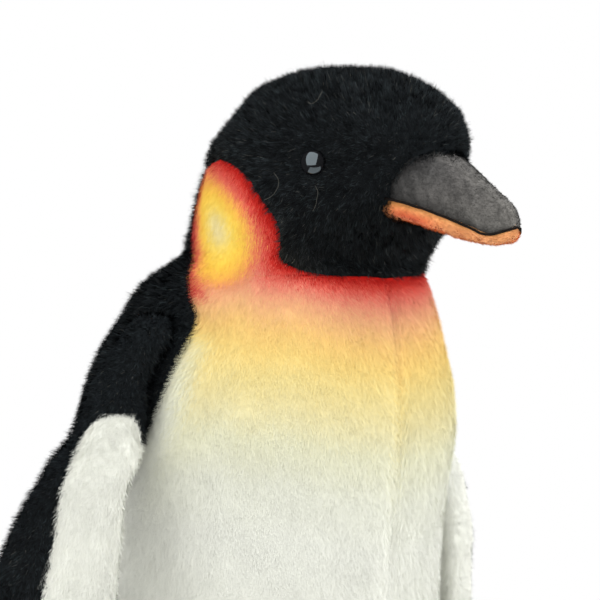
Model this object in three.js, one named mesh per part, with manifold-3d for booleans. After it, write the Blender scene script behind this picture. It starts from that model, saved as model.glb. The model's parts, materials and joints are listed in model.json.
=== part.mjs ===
// A standing plush king penguin, 0.6 m tall: sewn pile-cloth panels over stuffing, with plastic eyes,
// a velour bill, jointed flippers and a jointed tail. Millimetres, +Z up; the penguin faces -Y and
// its left side is +X. Everything paired is made once, for the left, and mirrored for the right.
import * as THREE from "three";
import { mergeVertices } from "three/addons/utils/BufferGeometryUtils.js";
import Module from "manifold-3d";

const wasm = await Module();
wasm.setup();

// ---- driving dimensions ----
const CROWN = 596; // height of the head's cloth
const HEAD_WIDEST = 548; // above this the head closes as a dome
const HEM = 3.5; // height where the side panels meet the base panel
const CLOTH = 2.5; // pile cloth and its backing
const SEAM = 0.6; // gap between neighbouring panels
const FILL_INSET = 6; // from the cloth's face to the stuffing
const HOOD_PROUD = 1.2; // the hood stands this far proud of the neck
const SEGMENTS = 24; // round the trunk and head

// Horizontal sections of the trunk, neck and head: height, centre Y, half width, depth in front of
// the centre, depth behind it, and the exponent of the front half's outline (2 is an ellipse).
const SECTIONS = [
  [0, 18, 50, 48, 52, 2],
  [10, 17, 62, 60, 64, 2],
  [30, 15, 77, 76, 82, 2],
  [60, 13, 88, 89, 95, 2],
  [110, 11, 97, 100, 105, 2],
  [180, 9, 100, 106, 110, 2],
  [250, 8, 98, 105, 110, 2],
  [310, 6, 98, 104, 110, 2],
  [355, 4, 103, 105, 110, 2],
  [388, 2, 106, 108, 110, 2],
  [415, 0, 103, 106, 106, 2],
  [435, -2, 97, 101.5, 99, 2],
  [455, -6, 89, 94.5, 88, 2],
  [470, -10, 84, 86, 79, 2],
  [480, -17, 78, 76, 71, 2],
  [490, -28, 72, 65, 65, 1.9],
  [500, -36, 69, 70, 73, 1.8],
  [515, -45, 68.5, 82, 80.5, 1.75],
  [530, -50, 67.5, 87.5, 81.5, 1.7],
  [HEAD_WIDEST, -53, 66, 87.5, 75.5, 1.65],
];

// How much shallower the crown is behind its centre than a plain dome, by height.
const NAPE_SLOPE = [
  [HEAD_WIDEST, 0],
  [555, 6],
  [563, 12],
  [572, 12],
  [580, 6.5],
  [588, 2],
  [CROWN, 0],
];
const CROWN_SHIFT = -10; // how far the sections' centre moves in Y from the widest one to the crown

// Height of the hood's lower edge, by angle from the front in degrees.
const HOOD_EDGE = [
  [0, 479],
  [20, 480],
  [33, 481],
  [42.5, 484],
  [51, 488.5],
  [56, 493],
  [61, 501],
  [68, 511],
  [77, 521],
  [84, 529],
  [90, 535],
  [100, 542],
  [117, 547],
  [142, 542],
  [180, 536],
];

// Angle of the seam between the coloured front cloth and the black back cloth, by height.
const SIDE_SEAM = [
  [0, 104],
  [200, 102],
  [320, 101],
  [347, 99],
  [361, 95],
  [374, 90],
  [385, 87],
  [395, 84],
  [434, 78],
  [455, 77],
  [473, 87],
  [486, 103],
  [497, 124],
  [510, 136],
  [542, 142],
];

const EYE = { angle: 59.6, height: 544.2, radius: 7.6, dome: 5, shank: 1.8, depth: 9 };

// The bill, from its root to its tip: distance forward of the trunk's axis, half width, the
// heights of its top, of the mouth line and of its underside, and the exponent of its outline
// (1 is an ellipse, less is squarer).
const BILL = [
  [112, 30, 557, 525, 510, 0.62],
  [127, 28, 555, 523, 510, 0.65],
  [140, 24, 550.5, 519.5, 506.5, 0.7],
  [153, 20, 544.5, 515.5, 502.5, 0.76],
  [166, 16, 536.5, 510.5, 499.5, 0.82],
  [177, 13, 529.5, 506, 498, 0.87],
  [185.5, 11.3, 524.5, 503, 497.5, 0.9],
  [191.5, 9, 520.8, 503.3, 498.2, 0.9],
  [195.5, 5.5, 517, 505, 500.5, 0.9],
];
const BILL_TIP = { forward: 197.5, height: 508 };
const PLUG = { radius: 11, height: 526, from: 100, to: 150 };

// Flipper, in its own frame: x runs from its front edge to its outer edge, -y is the white side,
// and rows go down from the shoulder: drop, reach of the outer edge and of the front edge from the
// middle line, half thickness, and how far forward the middle line has moved.
const FLIPPER = {
  shoulder: new THREE.Vector3(109, 6, 446),
  twist: THREE.MathUtils.degToRad(45),
  leanOut: 0.318,
  rows: [
    [-9, 9, 13, 6, -2],
    [0, 13, 17.5, 8.5, 0.8],
    [25, 12.1, 19.9, 8.8, 7.8],
    [46, 12, 26, 9.8, 13.5],
    [58, 13.8, 28.5, 10, 17],
    [70, 19, 29.3, 10, 23],
    [83, 22.5, 27.6, 10, 28.5],
    [99, 26.3, 28.7, 10, 31.5],
    [123, 30.6, 34.5, 10, 32.8],
    [153, 36.2, 41.5, 9.5, 32.8],
    [180, 38.4, 42.7, 8.5, 31.8],
    [205, 33.9, 36.1, 7, 31],
    [222, 22.9, 24.1, 5, 30.5],
    [230, 13, 13, 3.2, 30.2],
  ],
  top: -12,
  tip: 233,
  // the white panel's outer edge, by drop, as an x from the flipper's middle
  seam: [
    [46, 2.5],
    [57, 7],
    [67, 9.2],
    [91, 9.3],
    [123, 4],
    [153, 1.1],
    [205, 1.5],
    [240, 1],
  ],
};

// Tail, in its own frame: rows run back from the root: distance, half width, half thickness.
const TAIL = {
  root: new THREE.Vector3(0, 111.3, 56),
  droop: THREE.MathUtils.degToRad(38),
  rows: [
    [0, 27, 8],
    [18, 30, 8.5],
    [40, 27, 7.5],
    [58, 19, 5.5],
    [67, 11, 3.6],
  ],
  top: -4,
  tip: 71,
};

// Foot outline as (sideways, forward) from the ankle, heel to three toes and back.
const FOOT = {
  at: new THREE.Vector3(42, -61, 0),
  splay: THREE.MathUtils.degToRad(10),
  outline: [
    [-15, -16],
    [-20, 2],
    [-26, 26],
    [-35, 52],
    [-37, 66],
    [-29, 72],
    [-20, 67],
    [-10, 76],
    [0, 84],
    [10, 76],
    [20, 67],
    [29, 72],
    [37, 66],
    [35, 52],
    [26, 26],
    [20, 2],
    [15, -16],
    [0, -20],
  ],
  steps: 28,
  sole: 2,
  board: 1.2,
  height: 19,
};

// ---- materials ----
const finish = (color, roughness, metalness = 0) =>
  new THREE.MeshStandardMaterial({ color, roughness, metalness });
const blackPile = finish(0x15171a, 0.95);
const whitePile = finish(0xecebe0, 0.95);
const chestPile = finish(0xf3dc96, 0.95);
const greyVelour = finish(0x5d5853, 0.85);
const orangeVelour = finish(0xe69b52, 0.85);
const blackTrim = finish(0x1a1614, 0.9);
const eyePlastic = finish(0x060607, 0.08);
const clearPlastic = finish(0xd8d8d8, 0.5);
const fibreFill = finish(0xf4f4f2, 1);
const pelletCloth = finish(0xc9c4b4, 0.9);
const stiffener = finish(0x8d8a84, 0.7);
const footCloth = finish(0x26262a, 0.85);

// ---- curves and solids ----

// A smooth curve through [x, value, ...] rows, read at x in the given column.
function along(rows, x, column = 1) {
  const last = rows.length - 1;
  const at = Math.min(Math.max(x, rows[0][0]), rows[last][0]);
  let i = 0;
  while (i < last - 1 && at > rows[i + 1][0]) i += 1;
  const slope = (k) => {
    const a = rows[Math.max(k - 1, 0)];
    const b = rows[Math.min(k + 1, last)];
    return (b[column] - a[column]) / (b[0] - a[0]);
  };
  const width = rows[i + 1][0] - rows[i][0];
  const t = (at - rows[i][0]) / width;
  const t2 = t * t;
  const t3 = t2 * t;
  return (
    (2 * t3 - 3 * t2 + 1) * rows[i][column] +
    (t3 - 2 * t2 + t) * width * slope(i) +
    (3 * t2 - 2 * t3) * rows[i + 1][column] +
    (t3 - t2) * width * slope(i + 1)
  );
}

const power = (x, exponent) => Math.sign(x) * Math.abs(x) ** exponent;

function meanOf(points) {
  const sum = new THREE.Vector3();
  points.forEach((p) => sum.add(p));
  return sum.divideScalar(points.length);
}

// A closed body through rings of equal length. A ring of one point is a pole; an end ring of more
// points is capped with a fan; with loop the last ring joins the first, as a tube wall does.
function loft(rings, loop = false) {
  const points = [];
  const faces = [];
  const starts = rings.map((ring) => {
    const start = points.length / 3;
    ring.forEach((p) => points.push(p.x, p.y, p.z));
    return start;
  });
  const n = Math.max(...rings.map((ring) => ring.length));
  const vertex = (r, i) => starts[r] + (rings[r].length === 1 ? 0 : i % n);
  const strips = loop ? rings.length : rings.length - 1;
  for (let r = 0; r < strips; r += 1) {
    const s = (r + 1) % rings.length;
    for (let i = 0; i < n; i += 1) {
      if (rings[r].length > 1) faces.push([vertex(r, i), vertex(r, i + 1), vertex(s, i)]);
      if (rings[s].length > 1) faces.push([vertex(r, i + 1), vertex(s, i + 1), vertex(s, i)]);
    }
  }
  if (!loop) {
    for (const [r, flip] of [[0, true], [rings.length - 1, false]]) {
      if (rings[r].length === 1) continue;
      const centre = points.length / 3;
      points.push(...meanOf(rings[r]).toArray());
      for (let i = 0; i < n; i += 1) {
        const [a, b] = [vertex(r, i), vertex(r, i + 1)];
        faces.push(flip ? [b, a, centre] : [a, b, centre]);
      }
    }
  }
  const geometry = new THREE.BufferGeometry();
  geometry.setAttribute("position", new THREE.Float32BufferAttribute(points, 3));
  geometry.setIndex(faces.flat());
  return outward(geometry);
}

// The same body with its faces turned out.
function outward(geometry) {
  const p = geometry.getAttribute("position");
  const index = geometry.getIndex().array;
  const [a, b, c] = [new THREE.Vector3(), new THREE.Vector3(), new THREE.Vector3()];
  let volume = 0;
  for (let i = 0; i < index.length; i += 3) {
    a.fromBufferAttribute(p, index[i]);
    b.fromBufferAttribute(p, index[i + 1]);
    c.fromBufferAttribute(p, index[i + 2]);
    volume += a.dot(b.cross(c));
  }
  if (volume < 0) {
    for (let i = 0; i < index.length; i += 3) {
      [index[i + 1], index[i + 2]] = [index[i + 2], index[i + 1]];
    }
  }
  return geometry;
}

// Joins and cuts.
function solid(geometry) {
  const bare = new THREE.BufferGeometry();
  bare.setAttribute("position", geometry.getAttribute("position"));
  bare.setIndex(geometry.getIndex());
  const merged = mergeVertices(bare, 1e-4);
  return new wasm.Manifold(
    new wasm.Mesh({
      numProp: 3,
      vertProperties: merged.getAttribute("position").array,
      triVerts: new Uint32Array(merged.getIndex().array),
    }),
  );
}

function geometryOf(manifold) {
  const mesh = manifold.getMesh();
  const geometry = new THREE.BufferGeometry();
  geometry.setAttribute("position", new THREE.BufferAttribute(mesh.vertProperties, 3));
  geometry.setIndex(new THREE.BufferAttribute(mesh.triVerts, 1));
  const flat = geometry.toNonIndexed();
  flat.computeVertexNormals();
  return flat;
}

const boxFrom = (low, high) => {
  const size = new THREE.Vector3().subVectors(high, low);
  const middle = new THREE.Vector3().addVectors(low, high).multiplyScalar(0.5);
  return solid(new THREE.BoxGeometry(...size).translate(...middle));
};
const REACH = 700;
const leftHalf = boxFrom(
  new THREE.Vector3(SEAM / 2, -REACH, -REACH),
  new THREE.Vector3(REACH, REACH, REACH),
);

function rod(from, to, radius, sides = 16) {
  const axis = new THREE.Vector3().subVectors(to, from);
  const geometry = new THREE.CylinderGeometry(radius, radius, axis.length(), sides);
  geometry.translate(0, axis.length() / 2, 0);
  const turn = new THREE.Quaternion().setFromUnitVectors(
    new THREE.Vector3(0, 1, 0),
    axis.clone().normalize(),
  );
  return geometry.applyQuaternion(turn).translate(from.x, from.y, from.z);
}

function named(name, shape, material) {
  const geometry = shape.isBufferGeometry ? shape : geometryOf(shape);
  const mesh = new THREE.Mesh(geometry, material);
  mesh.name = name;
  return mesh;
}

// ---- trunk and head surface ----

// A point of the cloth's face: angle from the front in degrees (positive to the left) and height.
function facePoint(angle, height) {
  const z = Math.min(height, HEAD_WIDEST);
  const rise = Math.min(Math.max((height - HEAD_WIDEST) / (CROWN - HEAD_WIDEST), 0), 1);
  const dome = (1 - rise ** 2.1) ** 0.48;
  const [centre, half, front, back, exponent] = [1, 2, 3, 4, 5].map((c) => along(SECTIONS, z, c));
  const [s, c] = [Math.sin, Math.cos].map((f) => f(THREE.MathUtils.degToRad(angle)));
  const p = c > 0 ? exponent : 2;
  const slope = height > HEAD_WIDEST ? along(NAPE_SLOPE, height) : 0;
  return new THREE.Vector3(
    half * dome * power(s, 2 / p),
    centre + CROWN_SHIFT * rise - (c > 0 ? front : back - slope) * dome * power(c, 2 / p),
    height,
  );
}

function faceNormal(angle, height) {
  const [da, dz] = [1.5, 1];
  const across = facePoint(angle + da, height).sub(facePoint(angle - da, height));
  const up = facePoint(angle, Math.min(height + dz, CROWN - 0.5)).sub(facePoint(angle, height - dz));
  return across.cross(up).normalize();
}

// A point at a depth under the face (negative is proud of it).
const under = (angle, height, depth) =>
  facePoint(angle, height).addScaledVector(faceNormal(angle, height), -depth);

const crownPoint = (depth) =>
  new THREE.Vector3(0, SECTIONS.at(-1)[1] + CROWN_SHIFT, CROWN - depth);

const around = Array.from({ length: SEGMENTS }, (_, i) => -180 + (360 * i) / SEGMENTS);
const hoodEdge = (angle) => along(HOOD_EDGE, Math.abs(angle));
const steps = (count) => Array.from({ length: count + 1 }, (_, i) => i / count);
const eased = (v) => 0.5 - 0.5 * Math.cos(v * Math.PI); // closer rows at both ends

// The sections' own heights between two limits, and the limits.
const heightsBetween = (low, high) => [
  low,
  ...SECTIONS.map(([z]) => z).filter((z) => z > low + 3 && z < high - 3),
  high,
];

// The cloth below the hood, all round, as one tube wall that the panels are cut from. Its rows lie
// at the sections' heights in front and spread out where the hood's edge is higher.
function trunkCloth() {
  const chin = HOOD_EDGE[0][1];
  const rows = heightsBetween(HEM, chin).map((z) => (z - HEM) / (chin - HEM));
  const ring = (v, depth) =>
    around.map((angle) => {
      const top = hoodEdge(angle) - SEAM / 2;
      return under(angle, HEM + (top - HEM) * v, depth);
    });
  const outer = rows.map((v) => ring(v, 0));
  const inner = rows.map((v) => ring(v, CLOTH)).reverse();
  return solid(loft([...outer, ...inner], true));
}

// Rings from the hood's edge to the crown at a depth, the last of them the crown's single point.
function headRings(depth) {
  const rings = steps(10)
    .slice(0, -1)
    .map((v) =>
      around.map((angle) => {
        const foot = hoodEdge(angle) + SEAM / 2;
        return under(angle, foot + (CROWN - foot) * eased(v), depth);
      }),
    );
  return [...rings, [crownPoint(depth)]];
}

// The hood's cloth, closed at the crown.
function hoodCloth() {
  const outer = headRings(-HOOD_PROUD);
  const inner = headRings(CLOTH - HOOD_PROUD).reverse();
  return solid(loft([...inner, ...outer]));
}

// The space in front of the side seams, moved by a few tenths of a degree to leave a seam gap.
function frontSpace(shift) {
  const straight = [-40, 30, 110, 180, 250, 310, 355];
  const curved = Array.from({ length: 30 }, (_, i) => 385 + 5.5 * i);
  const rings = [...straight, ...curved, 640].map((z) => {
    const height = THREE.MathUtils.clamp(z, 0, 545);
    const edge = along(SIDE_SEAM, height) + shift;
    const middle = new THREE.Vector3(0, along(SECTIONS, height), z);
    const fan = steps(8).map((t) => {
      const p = facePoint(edge * (2 * t - 1), height).setZ(z);
      return p.sub(middle).multiplyScalar(2.2).add(middle);
    });
    return [middle, ...fan];
  });
  return solid(loft(rings));
}

// The stuffing under the face between two heights, and on up to the crown when it is the head's.
function stuffing(low, high) {
  const ring = (height) => around.map((angle) => under(angle, height, FILL_INSET));
  if (high < CROWN) return solid(loft(heightsBetween(low, high).map(ring)));
  const rings = steps(9)
    .slice(0, -1)
    .map((v) => ring(low + (high - low) * eased(v)));
  return solid(loft([...rings, [crownPoint(FILL_INSET)]]));
}

// ---- bill ----

function billRing(row, inset) {
  const [forward, half, top, mouth, bottom, exponent] = row;
  return steps(16)
    .slice(1)
    .map((t) => {
      const a = t * 2 * Math.PI;
      const tall = Math.sin(a) > 0 ? top - mouth - inset : mouth - bottom - inset;
      return new THREE.Vector3(
        (half - inset) * power(Math.cos(a), exponent),
        -forward,
        mouth + tall * power(Math.sin(a), exponent),
      );
    });
}

function billBody(inset) {
  const rows = inset > 0 ? BILL.slice(0, -1) : BILL;
  const tip = new THREE.Vector3(0, inset * 1.6 - BILL_TIP.forward, BILL_TIP.height);
  return solid(loft([...rows.map((row) => billRing(row, inset)), [tip]]));
}

// The space above the mouth line, lifted by a gap.
function aboveMouth(lift) {
  const outline = new THREE.Shape();
  outline.moveTo(90, 526 + lift);
  BILL.forEach(([forward, , , mouth]) => outline.lineTo(forward, mouth + lift));
  outline.lineTo(BILL_TIP.forward + 12, BILL_TIP.height + 2 + lift);
  outline.lineTo(BILL_TIP.forward + 12, 640);
  outline.lineTo(90, 640);
  outline.closePath();
  const slab = new THREE.ExtrudeGeometry(outline, { depth: 120, bevelEnabled: false });
  slab.applyMatrix4(
    new THREE.Matrix4().makeBasis(
      new THREE.Vector3(0, -1, 0),
      new THREE.Vector3(0, 0, 1),
      new THREE.Vector3(-1, 0, 0),
    ),
  );
  slab.translate(60, 0, 0);
  return solid(outward(mergeVertices(bareOf(slab), 1e-4)));
}

function bareOf(geometry) {
  const bare = new THREE.BufferGeometry();
  bare.setAttribute("position", geometry.getAttribute("position"));
  if (geometry.getIndex()) bare.setIndex(geometry.getIndex());
  return bare;
}

// The trim runs from one corner of the mouth round the tip to the other.
function mouthTrim(radius, from) {
  const side = BILL.filter(([forward]) => forward >= from).map(
    ([forward, half, , mouth]) => new THREE.Vector3(half + 0.4, -forward, mouth),
  );
  const tip = new THREE.Vector3(0, -BILL_TIP.forward - 0.4, BILL_TIP.height - 1);
  const other = side.map((p) => p.clone().setX(-p.x)).reverse();
  const path = new THREE.CatmullRomCurve3([...side, tip, ...other], false, "centripetal");
  const round = new THREE.Shape().absarc(0, 0, radius, 0, 2 * Math.PI);
  const tube = new THREE.ExtrudeGeometry(round, { steps: 24, curveSegments: 3, extrudePath: path });
  return solid(outward(mergeVertices(bareOf(tube), 1e-4)));
}

function addBill(group) {
  const head = solid(loft(headRings(-HOOD_PROUD - 0.4))).intersect(leftHalf.translate(-SEAM, 0, 0));
  const face = head.add(head.mirror([1, 0, 0])); // the pieces end flush on the hood
  const plug = rod(
    new THREE.Vector3(0, -PLUG.from, PLUG.height),
    new THREE.Vector3(0, -PLUG.to, PLUG.height),
    PLUG.radius,
  );
  const outside = billBody(0).subtract(face);
  const shell = outside.subtract(billBody(2));
  const groove = mouthTrim(1.4, 130);
  const trimmed = mouthTrim(1, 130).subtract(face);
  group.add(
    named("bill_upper", shell.intersect(aboveMouth(0.2)).subtract(groove), greyVelour),
    named("bill_lower", shell.subtract(aboveMouth(-0.2)).subtract(groove), orangeVelour),
    named("mouth_trim", trimmed, blackTrim),
    named(
      "bill_stuffing",
      billBody(3.2).subtract(face).add(solid(plug)).subtract(groove),
      fibreFill,
    ),
  );
}

// ---- eyes ----

const eyeSeat = () => {
  const at = facePoint(EYE.angle, EYE.height);
  const normal = faceNormal(EYE.angle, EYE.height);
  return { at: at.addScaledVector(normal, HOOD_PROUD), normal };
};

// A profile of (radius, height along the eye's axis), spun and set on the head.
function onEyeAxis(profile, segments) {
  const { at, normal } = eyeSeat();
  const spun = new THREE.LatheGeometry(
    profile.map(([r, h]) => new THREE.Vector2(r, h)),
    segments,
  );
  const turn = new THREE.Quaternion().setFromUnitVectors(new THREE.Vector3(0, 1, 0), normal);
  spun.applyQuaternion(turn).translate(at.x, at.y, at.z);
  return outward(mergeVertices(bareOf(spun), 1e-4));
}

function eyeBody() {
  const rest = 0.5;
  const dome = steps(4).map((t) => {
    const a = (t * Math.PI) / 2;
    return [EYE.radius * Math.cos(a), rest + 1 + EYE.dome * Math.sin(a)];
  });
  dome[dome.length - 1][0] = 0;
  return onEyeAxis(
    [[0, -EYE.depth], [EYE.shank, -EYE.depth], [EYE.shank, rest], [EYE.radius - 0.4, rest], ...dome],
    16,
  );
}

function eyeWasher() {
  const [near, far] = [CLOTH + 1.2, CLOTH + 2.4];
  return onEyeAxis(
    [[EYE.shank + 0.3, -near], [6, -near], [6, -far], [EYE.shank + 0.3, -far], [EYE.shank + 0.3, -near]],
    16,
  );
}

function eyeHole(radius, depth) {
  const { at, normal } = eyeSeat();
  const deep = at.clone().addScaledVector(normal, -depth);
  return solid(rod(deep, at.clone().addScaledVector(normal, 3), radius));
}

// ---- flippers ----

// A point of the flipper's middle line.
const middleLine = (drop) =>
  new THREE.Vector3(FLIPPER.leanOut * drop, -along(FLIPPER.rows, drop, 4), -drop);

function flipperRing([drop, outer, inner, thick], inset) {
  const middle = middleLine(drop);
  return steps(14)
    .slice(1)
    .map((t) => {
      const a = t * 2 * Math.PI;
      const half = (outer + inner) / 2 - inset;
      return new THREE.Vector3(
        (outer - inner) / 2 + half * Math.cos(a),
        (thick - inset) * power(Math.sin(a), 0.85),
        0,
      ).add(middle);
    });
}

function flipperBody(inset) {
  const rows = FLIPPER.rows.filter((row) => row[3] > inset + 1);
  const [first, last] = [rows[0][0], rows.at(-1)[0]];
  const top = inset > 0 ? first - 1 : FLIPPER.top;
  const tip = inset > 0 ? last + 1 : FLIPPER.tip;
  const rings = rows.map((row) => flipperRing(row, inset));
  return solid(loft([[middleLine(top)], ...rings, [middleLine(tip)]]));
}

// The space the white panel is cut from, drawn back from its seams by a gap.
function whiteSpace(gap) {
  const rings = [];
  const from = FLIPPER.seam[0][0] + gap;
  const to = FLIPPER.seam.at(-1)[0];
  for (let i = 0; i <= 8; i += 1) {
    const drop = from + ((to - from) * i) / 8;
    const middle = middleLine(drop);
    const edge = along(FLIPPER.seam, drop) - gap;
    const corners = [
      [-70, -50],
      [edge, -50],
      [edge, 1.5 - gap],
      [-70, 16 - gap], // the panel wraps round the front edge
    ];
    rings.push(corners.map(([x, y]) => new THREE.Vector3(x, y, 0).add(middle)));
  }
  return solid(loft(rings));
}

function addFlipper(side, tag) {
  const flipper = new THREE.Group();
  flipper.position.copy(FLIPPER.shoulder);
  flipper.rotation.z = FLIPPER.twist;
  const shell = flipperBody(0).subtract(flipperBody(2.2));
  flipper.add(
    named(`flipper_back_${tag}`, shell.subtract(whiteSpace(0)), blackPile),
    named(`flipper_front_${tag}`, shell.intersect(whiteSpace(SEAM)), whitePile),
    named(`flipper_stuffing_${tag}`, flipperBody(3.4), fibreFill),
  );
  side.add(flipper);
}

// ---- feet ----

function footRing(height, scale) {
  const curve = new THREE.CatmullRomCurve3(
    FOOT.outline.map(([x, f]) => new THREE.Vector3(x, -f, 0)),
    true,
    "centripetal",
  );
  return curve
    .getPoints(FOOT.steps)
    .slice(1)
    .map((p) => new THREE.Vector3(p.x * scale, 18 * (scale - 1) + p.y * scale, height));
}

function footDome(low, rise, shrink) {
  const profile = [
    [0, 1],
    [0.35, 0.99],
    [0.7, 0.88],
    [0.92, 0.62],
  ];
  const rings = profile.map(([h, s]) => footRing(low + rise * h, s * shrink));
  return solid(loft([...rings, [new THREE.Vector3(0, -15, low + rise)]]));
}

function plate(low, thickness, scale) {
  return loft([footRing(low, scale), footRing(low + thickness, scale)]);
}

function addFoot(side, tag) {
  const foot = new THREE.Group();
  foot.position.copy(FOOT.at);
  foot.rotation.z = FOOT.splay;
  const above = FOOT.sole + 0.4;
  const boardTop = above + FOOT.board + 0.3;
  const shell = footDome(above, FOOT.height - above, 1).subtract(
    footDome(above - 0.5, FOOT.height - above - 1.6, 0.93),
  );
  foot.add(
    named(`foot_upper_${tag}`, shell, footCloth),
    named(`foot_sole_${tag}`, plate(0, FOOT.sole, 1), footCloth),
    named(`foot_board_${tag}`, plate(above, FOOT.board, 0.84), stiffener),
    named(`foot_stuffing_${tag}`, footDome(boardTop, FOOT.height - above - 6, 0.84), fibreFill),
  );
  side.add(foot);
}

// ---- tail ----

function tailBody(inset) {
  const rows = TAIL.rows.filter((row) => row[2] > inset + 0.8);
  const ring = ([back, half, thick]) =>
    steps(14)
      .slice(1)
      .map((t) => {
        const a = t * 2 * Math.PI;
        return new THREE.Vector3(
          (half - inset) * Math.cos(a),
          back,
          (thick - inset) * power(Math.sin(a), 0.9),
        );
      });
  const top = inset > 0 ? rows[0][0] - 1 : TAIL.top;
  const tip = inset > 0 ? rows.at(-1)[0] + 1 : TAIL.tip;
  return solid(
    loft([[new THREE.Vector3(0, top, 0)], ...rows.map(ring), [new THREE.Vector3(0, tip, 0)]]),
  );
}

function addTail(group) {
  const tail = new THREE.Group();
  tail.position.copy(TAIL.root);
  tail.rotation.x = -TAIL.droop;
  const shell = tailBody(0).subtract(tailBody(2.2));
  const upper = (gap) =>
    boxFrom(new THREE.Vector3(-80, -80, gap), new THREE.Vector3(80, 120, 80));
  tail.add(
    named("tail_upper", shell.intersect(upper(SEAM / 2)), blackPile),
    named("tail_under", shell.subtract(upper(-SEAM / 2)), blackPile),
    named("tail_stuffing", tailBody(3.2), fibreFill),
  );
  group.add(tail);
}

// ---- base ----

function disc(low, thickness, inset) {
  const ring = (height) =>
    around.map((angle) => {
      const p = facePoint(angle, HEM).setZ(height);
      const middle = new THREE.Vector3(0, SECTIONS[0][1], height);
      return p.sub(middle).multiplyScalar(1 - inset / SECTIONS[0][2]).add(middle);
    });
  return loft([ring(low), ring(low + thickness)]);
}

function addBase(group) {
  const bag = steps(5).map((v) => {
    const height = 6.5 + 31 * v;
    const bulge = 8 + 10 * (2 * v - 1) ** 2;
    return around.map((angle) => under(angle, height + 2, bulge).setZ(height));
  });
  group.add(
    named("base_panel", disc(0, CLOTH, 1), blackPile),
    named("base_board", disc(3, 2, 8), stiffener),
    named("pellet_bag", loft(bag), pelletCloth),
  );
}

// ---- assembly ----

const penguin = new THREE.Group();
const neckCut = 487; // the body's and the head's stuffing meet here
const trunk = trunkCloth();
const hood = hoodCloth();
const frontTube = trunk.intersect(frontSpace(-0.25));
const backTube = trunk.subtract(frontSpace(0.25));
const plugHole = solid(
  rod(
    new THREE.Vector3(0, -PLUG.from + 2, PLUG.height),
    new THREE.Vector3(0, -PLUG.to - 20, PLUG.height),
    PLUG.radius + 1,
  ),
);

let headFill = stuffing(neckCut + SEAM, CROWN).subtract(plugHole);
for (const mirror of [1, -1]) {
  const hole = eyeHole(EYE.shank + 0.8, EYE.depth + 1);
  headFill = headFill.subtract(mirror > 0 ? hole : hole.mirror([1, 0, 0]));
}
penguin.add(
  named("body_stuffing", stuffing(42, neckCut - SEAM), fibreFill),
  named("head_stuffing", headFill, fibreFill),
);

for (const [tag, mirror] of [["left", 1], ["right", -1]]) {
  const side = new THREE.Group();
  side.scale.x = mirror;
  const halfHood = hood.intersect(leftHalf).subtract(plugHole).subtract(eyeHole(EYE.shank + 0.5, 8));
  side.add(
    named(`hood_${tag}`, halfHood, blackPile),
    named(`front_${tag}`, frontTube.intersect(leftHalf), chestPile),
    named(`back_${tag}`, backTube.intersect(leftHalf), blackPile),
    named(`eye_${tag}`, eyeBody(), eyePlastic),
    named(`eye_washer_${tag}`, eyeWasher(), clearPlastic),
  );
  addFlipper(side, tag);
  addFoot(side, tag);
  penguin.add(side);
}
addBill(penguin);
addTail(penguin);
addBase(penguin);

// The origin is at the middle of the underside of the whole penguin.
const extent = new THREE.Box3().setFromObject(penguin, true);
penguin.position.set(0, -(extent.min.y + extent.max.y) / 2, -extent.min.z);

export default penguin;
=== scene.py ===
"""Looks of the plush penguin: cloth skins, pile, bill, eyes, feet, tail, floor, light and camera.

Surfaces are worked out in millimetres in the trunk's own frame (its axis at X 0, Y 0) and moved
into the row's frame by TRUNK_Y. Sides are made once, for the left (+X), and mirrored."""

import json
import math

import bpy
import numpy as np
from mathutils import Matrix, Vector


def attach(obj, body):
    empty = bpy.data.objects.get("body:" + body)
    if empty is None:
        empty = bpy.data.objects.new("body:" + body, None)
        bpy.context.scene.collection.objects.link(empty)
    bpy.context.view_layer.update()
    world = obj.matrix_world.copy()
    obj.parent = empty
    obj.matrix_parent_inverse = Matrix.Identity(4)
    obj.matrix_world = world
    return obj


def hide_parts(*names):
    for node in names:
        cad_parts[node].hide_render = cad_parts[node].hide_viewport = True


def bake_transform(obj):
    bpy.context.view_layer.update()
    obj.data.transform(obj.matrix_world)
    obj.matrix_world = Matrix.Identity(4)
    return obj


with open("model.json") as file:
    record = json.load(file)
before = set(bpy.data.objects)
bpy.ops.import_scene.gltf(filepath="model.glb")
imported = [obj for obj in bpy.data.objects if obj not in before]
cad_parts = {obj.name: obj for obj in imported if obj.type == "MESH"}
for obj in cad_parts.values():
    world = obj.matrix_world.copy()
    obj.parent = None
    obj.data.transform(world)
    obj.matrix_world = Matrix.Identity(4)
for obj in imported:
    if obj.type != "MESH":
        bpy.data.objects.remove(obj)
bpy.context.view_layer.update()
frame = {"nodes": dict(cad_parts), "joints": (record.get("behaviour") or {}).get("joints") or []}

MM = 0.001
TRUNK_Y = 15.854  # from the trunk's axis to the row's origin, mm
SIDES = (("left", 1.0), ("right", -1.0))

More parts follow.
